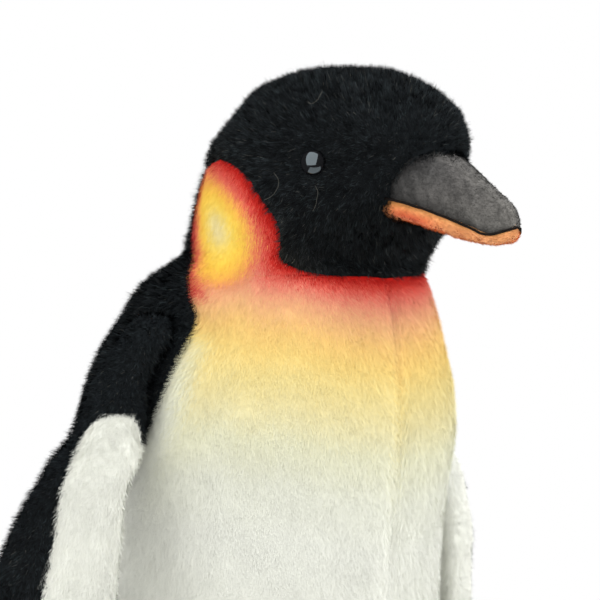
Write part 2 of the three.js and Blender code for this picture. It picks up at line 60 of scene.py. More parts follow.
# ---------------------------------------------------------------- shared dimensions, as in the CAD
CROWN, HEAD_WIDEST, CROWN_SHIFT, HEM = 596.0, 548.0, -10.0, 3.5
HOOD_PROUD = 1.2  # how far the hood's cloth stands off the head, mm
TRUNK_ARC, HEAD_ARC = 1.75, 1.45  # mm along the cloth for a degree about the axis
SECTIONS = np.array([  # height, middle (y), half width, reach forwards and back, roundness
    [0, 18, 50, 48, 52, 2], [10, 17, 62, 60, 64, 2], [30, 15, 77, 76, 82, 2],
    [60, 13, 88, 89, 95, 2], [110, 11, 97, 100, 105, 2], [180, 9, 100, 106, 110, 2],
    [250, 8, 98, 105, 110, 2], [310, 6, 98, 104, 110, 2], [355, 4, 103, 105, 110, 2],
    [388, 2, 106, 108, 110, 2], [415, 0, 103, 106, 106, 2], [435, -2, 97, 101.5, 99, 2],
    [455, -6, 89, 94.5, 88, 2], [470, -10, 84, 86, 79, 2], [480, -17, 78, 76, 71, 2],
    [490, -28, 72, 65, 65, 1.9], [500, -36, 69, 70, 73, 1.8], [515, -45, 68.5, 82, 80.5, 1.75],
    [530, -50, 67.5, 87.5, 81.5, 1.7], [548, -53, 66, 87.5, 75.5, 1.65],
], float)
NAPE_SLOPE = np.array([  # height, how far the back of the head is cut forwards
    [548, 0], [555, 6], [563, 12], [572, 12], [580, 6.5], [588, 2], [596, 0],
], float)
HOOD_EDGE = np.array([  # angle from the front, height
    [0, 479], [20, 480], [33, 481], [42.5, 484], [51, 488.5], [56, 493], [61, 501], [68, 511],
    [77, 521], [84, 529], [90, 535], [100, 542], [117, 547], [142, 542], [180, 536],
], float)
SIDE_SEAM = np.array([  # height, angle from the front
    [0, 104], [200, 102], [320, 101], [347, 99], [361, 95], [374, 90], [385, 87], [395, 84],
    [434, 78], [455, 77], [473, 87], [486, 103], [497, 124], [510, 136], [542, 142],
], float)
EYE = {"angle": 59.6, "height": 544.2, "radius": 7.6, "dome": 5.0}
EYE_RIM = 0.4  # how far the rim of the eye's dome stands off the hood's cloth, mm
BILL = np.array([  # distance forwards, half width, top, mouth, bottom, roundness
    [112, 30, 557, 525, 510, 0.62], [127, 28, 555, 523, 510, 0.65],
    [140, 24, 550.5, 519.5, 506.5, 0.7], [153, 20, 544.5, 515.5, 502.5, 0.76],
    [166, 16, 536.5, 510.5, 499.5, 0.82], [177, 13, 529.5, 506, 498, 0.87],
    [185.5, 11.3, 524.5, 503, 497.5, 0.9], [191.5, 9, 520.8, 503.3, 498.2, 0.9],
    [195.5, 5.5, 517, 505, 500.5, 0.9],
], float)
BILL_TIP = (197.5, 508.0)
SHOULDER, TWIST, LEAN_OUT = np.array([109.0, 6.0, 446.0]), 45.0, 0.318
FLIPPER_ROWS = np.array([  # drop, outer and front reach, half thickness, how far forward
    [-9, 9, 13, 6, -2], [0, 13, 17.5, 8.5, 0.8], [25, 12.1, 19.9, 8.8, 7.8],
    [46, 12, 26, 9.8, 13.5], [58, 13.8, 28.5, 10, 17], [70, 19, 29.3, 10, 23],
    [83, 22.5, 27.6, 10, 28.5], [99, 26.3, 28.7, 10, 31.5], [123, 30.6, 34.5, 10, 32.8],
    [153, 36.2, 41.5, 9.5, 32.8], [180, 38.4, 42.7, 8.5, 31.8], [205, 33.9, 36.1, 7, 31],
    [222, 22.9, 24.1, 5, 30.5], [230, 13, 13, 3.2, 30.2],
], float)
FLIPPER_SEAM = np.array([  # drop, place of the seam between black and white on the front
    [46, 2.5], [57, 7], [67, 9.2], [91, 9.3], [123, 4], [153, 1.1], [205, 1.5], [240, 1],
], float)
TAIL_ROOT, TAIL_DROOP = np.array([0.0, 111.3, 56.0]), 38.0
TAIL_ROWS = np.array([  # distance back, half width, half thickness
    [0, 27, 8], [18, 30, 8.5], [40, 27, 7.5], [58, 19, 5.5], [67, 11, 3.6],
], float)
FOOT_AT, FOOT_SPLAY = np.array([42.0, -61.0, 0.0]), 10.0
FOOT_OUTLINE = np.array([  # across, forwards
    [-15, -16], [-20, 2], [-26, 26], [-35, 52], [-37, 66], [-29, 72], [-20, 67], [-10, 76],
    [0, 84], [10, 76], [20, 67], [29, 72], [37, 66], [35, 52], [26, 26], [20, 2], [15, -16],
    [0, -20],
], float)


# ---------------------------------------------------------------- numbers and vectors
def along(rows, x, column=1):
    """A smooth curve through rows of [x, value, ...], read at x (an array)."""
    xs, ys = rows[:, 0], rows[:, column]
    slope = np.empty(len(xs))
    slope[1:-1] = (ys[2:] - ys[:-2]) / (xs[2:] - xs[:-2])
    slope[0] = (ys[1] - ys[0]) / (xs[1] - xs[0])
    slope[-1] = (ys[-1] - ys[-2]) / (xs[-1] - xs[-2])
    at = np.clip(x, xs[0], xs[-1])
    i = np.clip(np.searchsorted(xs, at, side="left") - 1, 0, len(xs) - 2)
    width = xs[i + 1] - xs[i]
    t = (at - xs[i]) / width
    t2, t3 = t * t, t * t * t
    return (
        (2 * t3 - 3 * t2 + 1) * ys[i]
        + (t3 - 2 * t2 + t) * width * slope[i]
        + (3 * t2 - 2 * t3) * ys[i + 1]
        + (t3 - t2) * width * slope[i + 1]
    )


def power(x, exponent):
    return np.sign(x) * np.abs(x) ** exponent


def unit(v):
    return v / np.maximum(np.linalg.norm(v, axis=-1, keepdims=True), 1e-9)


def smooth(x, low, high):
    t = np.clip((x - low) / (high - low), 0, 1)
    return t * t * (3 - 2 * t)


def bell(x, width):
    return np.exp(-((x / width) ** 2))


def fade(x, width):
    """1 up to x 0, and falling smoothly beyond it."""
    return np.exp(-np.maximum(x, 0) / width)


def turned(local, degrees):
    """Points turned about the upright axis."""
    a = math.radians(degrees)
    x = local[..., 0] * math.cos(a) - local[..., 1] * math.sin(a)
    y = local[..., 0] * math.sin(a) + local[..., 1] * math.cos(a)
    return np.stack([x, y, local[..., 2]], axis=-1)


def close_ends(rows, start, end):
    """Shrink the first and last values of each row, so that the tube they shape closes."""
    for row in rows:
        row[: len(start)] *= start
        row[-len(end) :] *= end


def waves(p, scale, seed, count=7):
    """Smooth noise, mostly in -1..1, at points p in mm; scale is its usual wavelength in mm."""
    r = np.random.default_rng(seed)
    total = np.zeros(p.shape[:-1])
    for _ in range(count):
        direction = unit(r.normal(size=3))
        total += np.sin(
            p @ direction * (2 * math.pi / scale * r.uniform(0.6, 1.7)) + r.uniform(0, 2 * math.pi)
        )
    return total / math.sqrt(count)


def linear(rgb):
    """sRGB 0..255 to linear 0..1."""
    c = np.asarray(rgb, float) / 255
    return np.where(c <= 0.04045, c / 12.92, ((c + 0.055) / 1.055) ** 2.4)


def ramp(x, stops):
    """sRGB colour along stops of (x, (r, g, b)), as an array of sRGB values."""
    xs = [s[0] for s in stops]
    return np.stack([np.interp(x, xs, [s[1][k] for s in stops]) for k in range(3)], axis=-1)


def mixed(a, b, share):
    return a + (b - a) * np.asarray(share)[..., None]


# ---------------------------------------------------------------- trunk and head surface
def face_point(angle, height):
    z = np.minimum(height, HEAD_WIDEST)
    rise = np.clip((height - HEAD_WIDEST) / (CROWN - HEAD_WIDEST), 0, 1)
    dome = (1 - rise**2.1) ** 0.48
    centre, half, front, back, exponent = (along(SECTIONS, z, c) for c in range(1, 6))
    back = back - np.where(height > HEAD_WIDEST, along(NAPE_SLOPE, height), 0)
    s, c = np.sin(np.radians(angle)), np.cos(np.radians(angle))
    p = np.where(c > 0, exponent, 2)
    return np.stack(
        [
            half * dome * power(s, 2 / p),
            centre
            + CROWN_SHIFT * rise
            - np.where(c > 0, front, back) * dome * power(c, 2 / p),
            height + 0 * angle,
        ],
        axis=-1,
    )


def face_normal(angle, height):
    across = face_point(angle + 1.5, height) - face_point(angle - 1.5, height)
    up = face_point(angle, np.minimum(height + 1, CROWN - 0.5)) - face_point(angle, height - 1)
    return unit(np.cross(across, up))


def hood_edge(angle):
    return along(HOOD_EDGE, np.abs(angle))


# ---------------------------------------------------------------- meshes
def placed(points):
    """Points in mm in the trunk's frame, in metres in the row's frame."""
    return points * MM + np.array([0, TRUNK_Y * MM, 0])


def link(name, data):
    obj = bpy.data.objects.new(name, data)
    bpy.context.scene.collection.objects.link(obj)
    return obj


def mesh_object(name, points, faces, uvs=None, colours=None, normals=None):
    """An object from points in mm in the trunk's frame and faces, all of one size."""
    points = placed(np.asarray(points, float))
    faces = np.asarray(faces, np.int32)
    me = bpy.data.meshes.new(name)
    me.vertices.add(len(points))
    me.vertices.foreach_set("co", points.astype(np.float32).ravel())
    me.loops.add(faces.size)
    me.polygons.add(len(faces))
    me.polygons.foreach_set("loop_start", np.arange(0, faces.size, faces.shape[1], dtype=np.int32))
    me.polygons.foreach_set("vertices", faces.ravel())
    me.polygons.foreach_set("use_smooth", np.ones(len(faces), bool))
    if uvs is not None:
        layer = me.uv_layers.new(name="OFBake")
        layer.data.foreach_set("uv", uvs[faces.ravel()].astype(np.float32).ravel())
    if colours is not None:
        layer = me.color_attributes.new("pile_colour", "FLOAT_COLOR", "POINT")
        rgba = np.ones((len(points), 4), np.float32)
        rgba[:, :3] = colours
        layer.data.foreach_set("color", rgba.ravel())
    me.update(calc_edges=True)
    me.validate()
    if normals is not None:
        me.normals_split_custom_set_from_vertices(normals.astype(np.float32))
    return link(name, me)


def flat_object(name, points, faces, material):
    """A flat-shaded object from points in metres and lists of corners."""
    me = bpy.data.meshes.new(name)
    me.from_pydata(points.tolist(), [], faces)
    me.materials.append(material)
    return link(name, me)


def cord(name, path, radius, material):
    """A round cord along a path in mm in the trunk's frame."""
    curve = bpy.data.curves.new(name, "CURVE")
    curve.dimensions = "3D"
    curve.bevel_depth = radius * MM
    curve.materials.append(material)
    spline = curve.splines.new("POLY")
    spline.points.add(len(path) - 1)
    for point, place in zip(spline.points, placed(path)):
        point.co = (*place, 1)
    return link(name, curve)


def grid_faces(rows, columns, closed=False):
    """Quads over a grid of rows by columns of points, wound to face out when rows go up and
    columns go from the front towards the left."""
    wide = columns if closed else columns - 1
    r, c = (k.ravel() for k in np.meshgrid(np.arange(rows - 1), np.arange(wide), indexing="ij"))
    d = (c + 1) % columns
    low, high = r * columns, (r + 1) * columns
    return np.stack([low + c, low + d, high + d, high + c], axis=1)


def grid_uvs(rows, columns):
    v, u = np.meshgrid(np.linspace(0.01, 0.99, rows), np.linspace(0.01, 0.99, columns), indexing="ij")
    return np.stack([u.ravel(), v.ravel()], axis=1)


def mirrored(points, faces, sign):
    if sign > 0:
        return points, faces
    return points * np.array([-1.0, 1.0, 1.0]), faces[:, ::-1]


def triangles(faces):
    if faces.shape[1] == 3:
        return faces
    return np.concatenate([faces[:, [0, 1, 2]], faces[:, [0, 2, 3]]])


def vertex_normals(points, tris):
    a, b, c = (points[tris[:, k]] for k in range(3))
    n = np.cross(b - a, c - a)
    out = np.zeros_like(points)
    for k in range(3):
        np.add.at(out, tris[:, k], n)
    return unit(out)


# ---------------------------------------------------------------- materials
def node(tree, kind, **values):
    """A new node, with each value set on the node itself or on its input of that name."""
    n = tree.nodes.new(kind)
    for key, value in values.items():
        if hasattr(n, key):
            setattr(n, key, value)
        else:
            n.inputs[key].default_value = value
    return n


def new_material(name, specular):
    """(material, its node tree, its shader, the output that gives a place on the object)."""
    m = bpy.data.materials.new(name)
    m.use_nodes = True
    shader = m.node_tree.nodes["Principled BSDF"]
    shader.inputs["Specular IOR Level"].default_value = specular
    return m, m.node_tree, shader, node(m.node_tree, "ShaderNodeTexCoord").outputs["Object"]


def noise(tree, place, size_mm, detail):
    n = node(tree, "ShaderNodeTexNoise", Scale=1000 / size_mm, Detail=detail)
    tree.links.new(place, n.inputs["Vector"])
    return n.outputs["Fac"]


def map_range(tree, value, source, target):
    """value taken from the range source to the range target, both (low, high)."""
    ends = {"From Min": source[0], "From Max": source[1], "To Min": target[0], "To Max": target[1]}
    n = node(tree, "ShaderNodeMapRange", **ends)
    tree.links.new(value, n.inputs["Value"])
    return n.outputs[0]


def mix_colours(tree, share, low, high):
    n = node(tree, "ShaderNodeMix", data_type="RGBA")
    n.inputs[6].default_value = (*low, 1)
    n.inputs[7].default_value = (*high, 1)
    tree.links.new(share, n.inputs["Factor"])
    return n.outputs[2]


def dent(tree, shader, height, strength, depth_mm):
    n = node(tree, "ShaderNodeBump", Strength=strength, Distance=depth_mm * MM)
    tree.links.new(height, n.inputs["Height"])
    tree.links.new(n.outputs[0], shader.inputs["Normal"])


def cloth_material(name, roughness, specular, grain, sheen=0.0, bump=0.0, grain_mm=3.0):
    """Cloth or pile: the piece's own colour attribute, made uneven by two sizes of noise."""
    m, tree, shader, place = new_material(name, specular)
    shader.inputs["Sheen Weight"].default_value = sheen
    shader.inputs["Sheen Roughness"].default_value = 0.6
    fine, broad = noise(tree, place, grain_mm, 4), noise(tree, place, 45, 2)
    both = node(tree, "ShaderNodeMath", operation="MULTIPLY_ADD")
    both.inputs[1].default_value = 0.6
    tree.links.new(fine, both.inputs[0])
    tree.links.new(broad, both.inputs[2])
    level = map_range(tree, both.outputs[0], (0.4, 1.2), (1 - grain, 1 + grain))
    colour = node(tree, "ShaderNodeAttribute", attribute_name="pile_colour")
    tinted = node(tree, "ShaderNodeVectorMath", operation="SCALE")
    tree.links.new(colour.outputs["Color"], tinted.inputs[0])
    tree.links.new(level, tinted.inputs["Scale"])
    tree.links.new(tinted.outputs[0], shader.inputs["Base Color"])
    rough = map_range(tree, fine, (0.3, 0.7), (roughness - 0.08, roughness + 0.08))
    tree.links.new(rough, shader.inputs["Roughness"])
    if bump:
        dent(tree, shader, fine, bump, 0.6)
    return m


def plain_material(name, rgb, roughness, specular, grain, grain_mm=2.0, bump=0.3):
    """A material of one hue, made uneven by noise in its colour, roughness and surface."""
    m, tree, shader, place = new_material(name, specular)
    spots = noise(tree, place, grain_mm, 5)
    base = linear(rgb)
    colour = mix_colours(tree, spots, base * (1 - grain), np.clip(base * (1 + grain), 0, 1))
    tree.links.new(colour, shader.inputs["Base Color"])
    rough = map_range(tree, spots, (0.3, 0.7), (max(roughness - 0.05, 0.02), roughness + 0.05))
    tree.links.new(rough, shader.inputs["Roughness"])
    if bump:
        dent(tree, shader, spots, bump, 0.4)
    return m


def woven_material(name, rgb, pitch_mm):
    """Plain woven cloth: crossed threads in colour and in bump."""
    m, tree, shader, place = new_material(name, 0.15)
    shader.inputs["Roughness"].default_value = 0.85
    over = node(tree, "ShaderNodeMath", operation="MAXIMUM")
    for k, axis in enumerate("XY"):
        threads = node(
            tree, "ShaderNodeTexWave", wave_type="BANDS", bands_direction=axis,
            Scale=1000 / pitch_mm / math.pi, Distortion=0.6,
        )
        tree.links.new(place, threads.inputs["Vector"])
        tree.links.new(threads.outputs["Fac"], over.inputs[k])
    base = linear(rgb)
    colour = mix_colours(tree, over.outputs[0], base * 0.5, np.clip(base * 1.3, 0, 1))
    tree.links.new(colour, shader.inputs["Base Color"])
    dent(tree, shader, over.outputs[0], 0.5, 0.3)
    return m


PILE_BLACK = cloth_material("black_pile", 0.7, 0.12, 0.25)
PILE_LIGHT = cloth_material("light_pile", 0.8, 0.1, 0.05)
VELOUR = cloth_material("velour", 0.85, 0.12, 0.16, sheen=0.12, bump=0.5, grain_mm=1.4)
BACKING = cloth_material("pile_backing", 0.95, 0.05, 0.1, bump=0.4)
SOLE = woven_material("sole_weave", (38, 38, 40), 0.9)

# ---------------------------------------------------------------- colours
BLACK = np.array([24.0, 27.0, 29.0])
BACKING_BLACK_PAINTED_LIGHT = BLACK * 1.3  # the cloth seen between black fibres, painted lighter than them: painted light that lifts the shade in the pile's crevices
WHITE = np.array([240.0, 241.0, 232.0])
FLIPPER_WHITE = WHITE * 0.95
CHEST = [  # sRGB by distance below the hood's edge, mm
    (0, (170, 16, 12)), (5, (210, 50, 42)), (11, (232, 106, 92)), (17, (238, 148, 124)),
    (24, (242, 180, 138)), (32, (247, 200, 140)), (42, (250, 214, 134)), (54, (250, 223, 140)),
    (68, (246, 229, 160)), (85, (243, 233, 182)), (105, (238, 237, 209)), (130, (238, 239, 225)),
    (160, (240, 241, 232)),
]
EAR = [  # sRGB by distance from the middle of the ear patch, as a share of its half size
    (0, (244, 231, 182)), (0.2, (246, 230, 160)), (0.35, (254, 228, 112)), (0.55, (255, 220, 90)),
    (0.7, (253, 206, 90)), (0.82, (248, 180, 98)), (0.93, (240, 142, 98)), (1.05, (228, 98, 88)),
    (1.2, (214, 74, 68)), (1.4, (202, 54, 50)),
]
EAR_MIDDLE, EAR_TILT = (107.0, 512.0), 0.85  # angle and height; degrees gained per mm of height


def ear_patch(angle, z):
    """(sRGB, share of it in the cloth's colour) of the airbrushed patch behind the cheek."""
    # offsets as shares of the patch's half width and half height
    across = angle - EAR_MIDDLE[0] - EAR_TILT * (z - EAR_MIDDLE[1])
    across = across / np.where(across < 0, 26.0, np.interp(z, [474, 500], [13.0, 21.0]))
    high = (z - 508) / np.where(z > 508, 34.0, 40.0)
    off = (np.abs(across) ** 2.3 + np.abs(high) ** 2.3) ** (1 / 2.3)
    behind = smooth(across, 0.2, 0.7) * smooth(z, 463, 471)
    below = smooth(-high, 0.3, 0.9)
    fade = smooth((off + 0.18 * below), 0.92, 1.15)
    return ramp(off, EAR), 1 - fade * (1 - behind)


def chest_colour(angle, z):
    """Airbrushed colour of the front cloth, as sRGB, by angle from the front and height."""
    angle = np.abs(angle)
    down = hood_edge(angle) - z
    down = np.minimum(down, np.maximum(498 - z, 24))  # beside the cheek the bands stay level
    spread = np.interp(angle, [0, 20, 40, 58, 70, 90, 105, 120], [1, 3, 8, -1, -3, -2, 4, 6])
    down = down + spread * (1 - fade(down, 6))
    seam = along(SIDE_SEAM, z)
    # whiter towards the side seam, yellower down the centre seam
    down = down + 34 * smooth(angle, seam - 13, seam - 3) * smooth(-z, -452, -436)
    down = down - 12 * bell(angle, 1.8) * smooth(down, 30, 60)
    ear, share = ear_patch(angle, z)
    return mixed(ramp(down, CHEST), ear, share)


# ---------------------------------------------------------------- pile
def value(given, at, d):
    """A number, or a function of places and data, as one number for each place."""
    return given(at, d) if callable(given) else np.full(len(at), float(given))


def scatter(points, faces, data, density, r):
    """(places, normals, data) of the fibres' roots; density is in fibres per square cm."""
    tris = triangles(faces)
    normals = vertex_normals(points, tris)
    a, b, c = (points[tris[:, k]] for k in range(3))
    area = np.linalg.norm(np.cross(b - a, c - a), axis=1) / 2
    dense = value(density, points[tris].mean(axis=1), data[tris].mean(axis=1))
    share = np.cumsum(area / 100 * dense)
    count = int(share[-1])
    pick = np.searchsorted(share, (np.arange(count) + r.random(count)) / count * share[-1])
    pick = np.minimum(pick, len(tris) - 1)
    u, v = r.random(count), r.random(count)
    over = u + v > 1
    u[over], v[over] = 1 - u[over], 1 - v[over]
    weight = np.stack([1 - u - v, u, v], axis=1)[:, :, None]
    at, n, d = ((rows[tris[pick]] * weight).sum(axis=1) for rows in (points, normals, data))
    return at, unit(n), d


def tufts(at, size, r):
    """(the tuft each fibre is in, how many fibres each tuft has)."""
    cells = np.floor((at + 0.3 * size * r.normal(size=at.shape)) / size).astype(np.int64)
    key = (cells[:, 0] * 4099 + cells[:, 1]) * 4099 + cells[:, 2]
    _, tuft_of = np.unique(key, return_inverse=True)
    return tuft_of, np.bincount(tuft_of)


def cell_uvs(count):
    """The corners of each fibre in a square cell of its own."""
    cells = math.ceil(math.sqrt(count))
    i = np.arange(count)
    corner = np.stack([i % cells, i // cells], axis=1) / cells
    shape = np.array([[0.15, 0.15], [0.85, 0.15], [0.5, 0.85]])
    return (corner[:, None, :] + shape[None] / cells).reshape(-1, 2)


def pile(name, points, faces, data, nap, colour, material, density, length, width, lift, seed,
         keep=None, tuft=2.4, gather=0.4, ruffle=1.0, uneven=0.05, deep=0.9, glint=0.25, roll=0.5,
         tufted=0.07):
    """Tapered fibres on a surface.

    data is values for each point; density, length and width (mm) and lift (degrees) are numbers or
    functions of places and data. Fibres less than tuft mm apart gather to a common tip, and tufted
    is how uneven the tufts' lengths are. ruffle scales what is random in direction, roll is how far
    a fibre turns about its own length, and glint how far that shows in its shading. uneven is the
    spread of brightness, and deep a root's brightness as a share of the fibre's own."""
    r = np.random.default_rng(seed)
    at, n, d = scatter(points, faces, data, density, r)
    if keep is not None:
        kept = keep(at, d, r)
        at, n, d = at[kept], n[kept], d[kept]
    count = len(at)
    tuft_of, members = tufts(at, tuft, r)
    turn = r.normal(size=(len(members), 3))[tuft_of]
    rise = r.normal(size=len(members))[tuft_of]
    tuft_tone = r.normal(size=(len(members), 1))[tuft_of]
    # direction: the nap, turned a little by tufts and a little at random
    broad = np.stack([waves(at, 26, seed + k) for k in range(3)], axis=1)
    t = unit(nap(at, n, d)) + ruffle * (0.3 * turn + 0.2 * broad + 0.3 * r.normal(size=at.shape))
    t = unit(t - n * (t * n).sum(axis=1, keepdims=True))
    swing = 9 * rise + 4 * waves(at, 40, seed + 9) + 11 * r.normal(size=count)
    angle = np.radians(np.clip(value(lift, at, d) + ruffle * swing, 8, 88))[:, None]
    way = t * np.cos(angle) + n * np.sin(angle)
    long = value(length, at, d) * (0.6 + 0.4 * r.random(count)) * np.clip(1 + tufted * rise, 0.5, 1.5)
    tip = at + way * long[:, None]
    total = np.stack([np.bincount(tuft_of, tip[:, k]) for k in range(3)], axis=1)
    common = (total / members[:, None])[tuft_of]
    tip = tip + (common - tip) * (gather * (0.6 + 0.8 * r.random((count, 1))))
    side = unit(np.cross(way, n) + roll * n * r.normal(size=(count, 1)))
    wide = (value(width, at, d) * (0.7 + 0.6 * r.random(count)))[:, None] / 2
    root = at - n * 0.35
    verts = np.stack([root - side * wide, root + side * wide, tip], axis=1)
    facing = np.cross(verts[:, 1] - verts[:, 0], verts[:, 2] - verts[:, 0])
    flip = (facing * n).sum(axis=1) < 0
    verts[flip] = verts[flip][:, [1, 0, 2]]
    facing[flip] *= -1
    shade = unit(n + glint * unit(facing) + 0.3 * glint * r.normal(size=at.shape))
    tone = np.maximum(1 + uneven * (0.7 * r.normal(size=(count, 1)) + 0.8 * tuft_tone), 0.25)
    base = linear(colour(at, d, r)) * tone
    # painted shade and light along each fibre: the root darker, as shade deep in the pile, and the
    # tip lighter, as a painted glint
    colours = np.stack([base * deep, base * deep, base * (1 + 0.45 * (1 - deep))], axis=1)
    corners = np.arange(count * 3).reshape(-1, 3)
    colours = np.clip(colours, 0, 1).reshape(-1, 3)
    normals = np.repeat(shade, 3, axis=0)
    obj = mesh_object(name, verts.reshape(-1, 3), corners, cell_uvs(count), colours, normals)
    obj.data.materials.append(material)
    return obj


def black_fibres(at, d, r):
    """Black, with painted glints: a few fibres coloured lighter, some blue-green and some brown-grey,
    in place of fibres that catch the light.
    """
    colour = np.tile(BLACK, (len(at), 1))
    chance = r.random(len(at))
    # painted glints: lighter fibre colours standing in for light caught on the fibres
    colour[chance < 0.14] = (40, 47, 49)
    colour[chance < 0.015] = (70, 70, 66)
    return colour


def skin(name, points, faces, colour, material, uvs=None, thick=1.6):
    """A cloth panel: its outer face, thickened inwards."""
    obj = mesh_object(name, points, faces, uvs, np.clip(linear(colour), 0, 1))
    obj.data.materials.append(material)
    shell = obj.modifiers.new("thickness", "SOLIDIFY")
    shell.thickness = thick * MM
    shell.offset = -1
    return obj


def finish_piece(obj, body, nodes=(), blended=None):
    """Hide the CAD parts a piece replaces and attach it to its body. blended, where its cloth would
    turn from torso to body, is only tested for being given: the piece is then not attached, and its
    transform is baked into its points.
    """
    if nodes:
        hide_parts(*nodes)
    if blended:
        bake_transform(obj)
    else:
        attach(obj, body)


# ---------------------------------------------------------------- trunk panels and hood
UP = np.array([0.0, 0.0, 1.0])


def relief(angle, z, points, seed):
    """How far the stuffed cloth stands off its plain shape, mm: seams draw in, the fill is uneven."""
    side = along(SIDE_SEAM, z)
    front = 1.5 * bell(np.abs(angle) * TRUNK_ARC, 3.4) * smooth(-z, -479, -470)
    back = 2.0 * bell((180 - np.abs(angle)) * TRUNK_ARC, 4.5) * smooth(-z, -536, -520)
    flank = 1.2 * bell((np.abs(angle) - side) * TRUNK_ARC, 4.0)
    hem = 2.0 * bell(z - HEM, 6)
    lumps = 0.5 * waves(points, 80, seed) + 0.2 * waves(points, 40, seed + 1)
    return lumps - front - back - flank - hem


def edge_angles(z):
    """(the angle where the hood's edge rises through height z, the angle where it falls back)."""
    rise, fall = np.linspace(0, 117, 400), np.linspace(180, 117, 300)
    return np.interp(z, hood_edge(rise), rise), np.interp(z, hood_edge(fall), fall)


def panel(which, sign, columns=72):
    """(points, faces, data, shape) of a front or back panel on the left; data is angle and
    height. Rows are level, from the hem to the hood's edge."""
    top = 546.6 if which == "front" else 541.6
    bands = ((HEM, 455, 104), (458, 478, 9), (479, 490, 9), (492.5, top, 22))
    heights = np.concatenate([np.linspace(*band) for band in bands])
    rise, fall = edge_angles(heights + 0.4)
    seam = along(SIDE_SEAM, heights)
    low, high = rise, np.minimum(seam, fall)
    if which == "back":
        low, high = high, fall
    u = np.linspace(0, 1, columns)
    angle = low[:, None] + (high - low)[:, None] * u
    z = heights[:, None] + 0 * angle
    points = face_point(angle, z)
    n = face_normal(angle, z)
    seed = 40 if sign > 0 else 50
    points = points + n * relief(angle, z, points, seed)[..., None]
    data = np.stack([angle.ravel(), z.ravel()], axis=1)
    shape = angle.shape
    return points.reshape(-1, 3), grid_faces(*shape), data, shape


def hood_panel(rows=56, columns=110):
    """(points, faces, data, shape) of the hood on the left, from its edge to the crown."""
    v = np.linspace(0, 1, rows)[:, None] * np.ones(columns)
    angle = np.ones((rows, 1)) * np.linspace(0, 180, columns)
    foot = hood_edge(angle) - 0.4
    eased = 0.5 - 0.5 * np.cos(v * math.pi)
    z = foot + (CROWN - 0.02 - foot) * eased
    points = face_point(angle, z)
    n = face_normal(angle, np.minimum(z, CROWN - 1.5))
    n[z > CROWN - 2] = UP
    bulge = 0.5 * waves(points, 46, 61) + 0.3 * waves(points, 24, 62)
    hem = 1.6 * bell(z - foot, 3.5)
    seam = 1.1 * bell(points[..., 0], 3.2) * smooth(z, 505, 530)
    near_eye = np.linalg.norm(points - eye_seat()[0], axis=-1)
    socket = 0.6 * bell(near_eye, 13)
    points = points + n * (HOOD_PROUD + bulge - hem - seam - socket)[..., None]
    data = np.stack([angle.ravel(), z.ravel()], axis=1)
    return points.reshape(-1, 3), grid_faces(rows, columns), data, (rows, columns)


def eye_seat():
    a, h = np.array(EYE["angle"]), np.array(EYE["height"])
    n = face_normal(a, h)
    return face_point(a, h) + n * HOOD_PROUD, n


def toward(vector):
    return lambda at, n, d: np.broadcast_to(np.array(vector, float), at.shape)


def seam_gap(d, way=1):
    """Degrees from the side seam, forwards (way 1) or backwards (way -1) of it."""
    return way * (along(SIDE_SEAM, d[:, 1]) - d[:, 0])


def above_edge(d):
    return d[:, 1] - hood_edge(d[:, 0])


def upper_share(d):
    """0 on the lower body, where the pile is sparser and its fibres wider, and 1 above."""
    return smooth(d[:, 1], 150, 330)


def make_front(tag, sign, seed):
    points, faces, data, shape = panel("front", sign)
    points, faces = mirrored(points, faces, sign)
    colours = chest_colour(data[:, 0], data[:, 1]) * 0.93
    obj = skin(f"front_{tag}_cloth", points, faces, colours, BACKING, grid_uvs(*shape))
    inside = ["body_stuffing", "pellet_bag"] if sign > 0 else []
    finish_piece(obj, "torso", [f"front_{tag}", *inside])

    def colour(at, d, r):
        jitter = 2.2 * r.normal(size=len(at))
        return 0.935 * chest_colour(d[:, 0] + jitter, d[:, 1] + 2.4 * r.normal(size=len(at)))

    def nap(at, n, d):
        way = np.tile([0.0, -0.05, -1.0], (len(at), 1))
        way[:, 0] += -sign * 0.35 * bell(d[:, 0], 8)
        way[:, 1] += 1.1 * fade(seam_gap(d), 5) * smooth(-d[:, 1], -460, -440)
        return way

    obj = pile(
        f"front_{tag}_pile", points, faces, data, nap, colour, PILE_LIGHT,
        density=lambda at, d: 110 + 190 * upper_share(d),
        length=lambda at, d: 5.0 - 0.8 * smooth(d[:, 1], 450, 478),
        width=lambda at, d: 0.62 - 0.25 * upper_share(d),
        lift=lambda at, d: 28 + 24 * fade(seam_gap(d), 4),
        seed=seed + 1, uneven=0.02, glint=0.06, ruffle=0.4, gather=0.05, deep=0.97, roll=0.1,
        keep=lambda at, d, r: above_edge(d) < -1.0,
    )
    finish_piece(obj, "torso")


def make_back(tag, sign, seed):
    points, faces, data, shape = panel("back", sign)
    points, faces = mirrored(points, faces, sign)
    # the backing is painted lighter than the black fibres: painted light in the pile's crevices
    colours = np.tile(BACKING_BLACK_PAINTED_LIGHT, (len(points), 1))
    obj = skin(f"back_{tag}_cloth", points, faces, colours, BACKING, grid_uvs(*shape))
    finish_piece(obj, "torso", [f"back_{tag}"])

    def nap(at, n, d):
        way = np.tile([0.0, 0.0, -1.0], (len(at), 1))
        way[:, 1] -= 0.3 * fade(seam_gap(d, -1), 9) * smooth(-d[:, 1], -460, -440)
        return way

    obj = pile(
        f"back_{tag}_pile", points, faces, data, nap, black_fibres, PILE_BLACK,
        density=lambda at, d: 75 + 165 * upper_share(d), length=6.4,
        width=lambda at, d: 0.7 - 0.2 * upper_share(d), lift=50,
        seed=seed + 2, uneven=0.4, gather=0.35, deep=0.5, tufted=0.14,
    )
    finish_piece(obj, "torso")


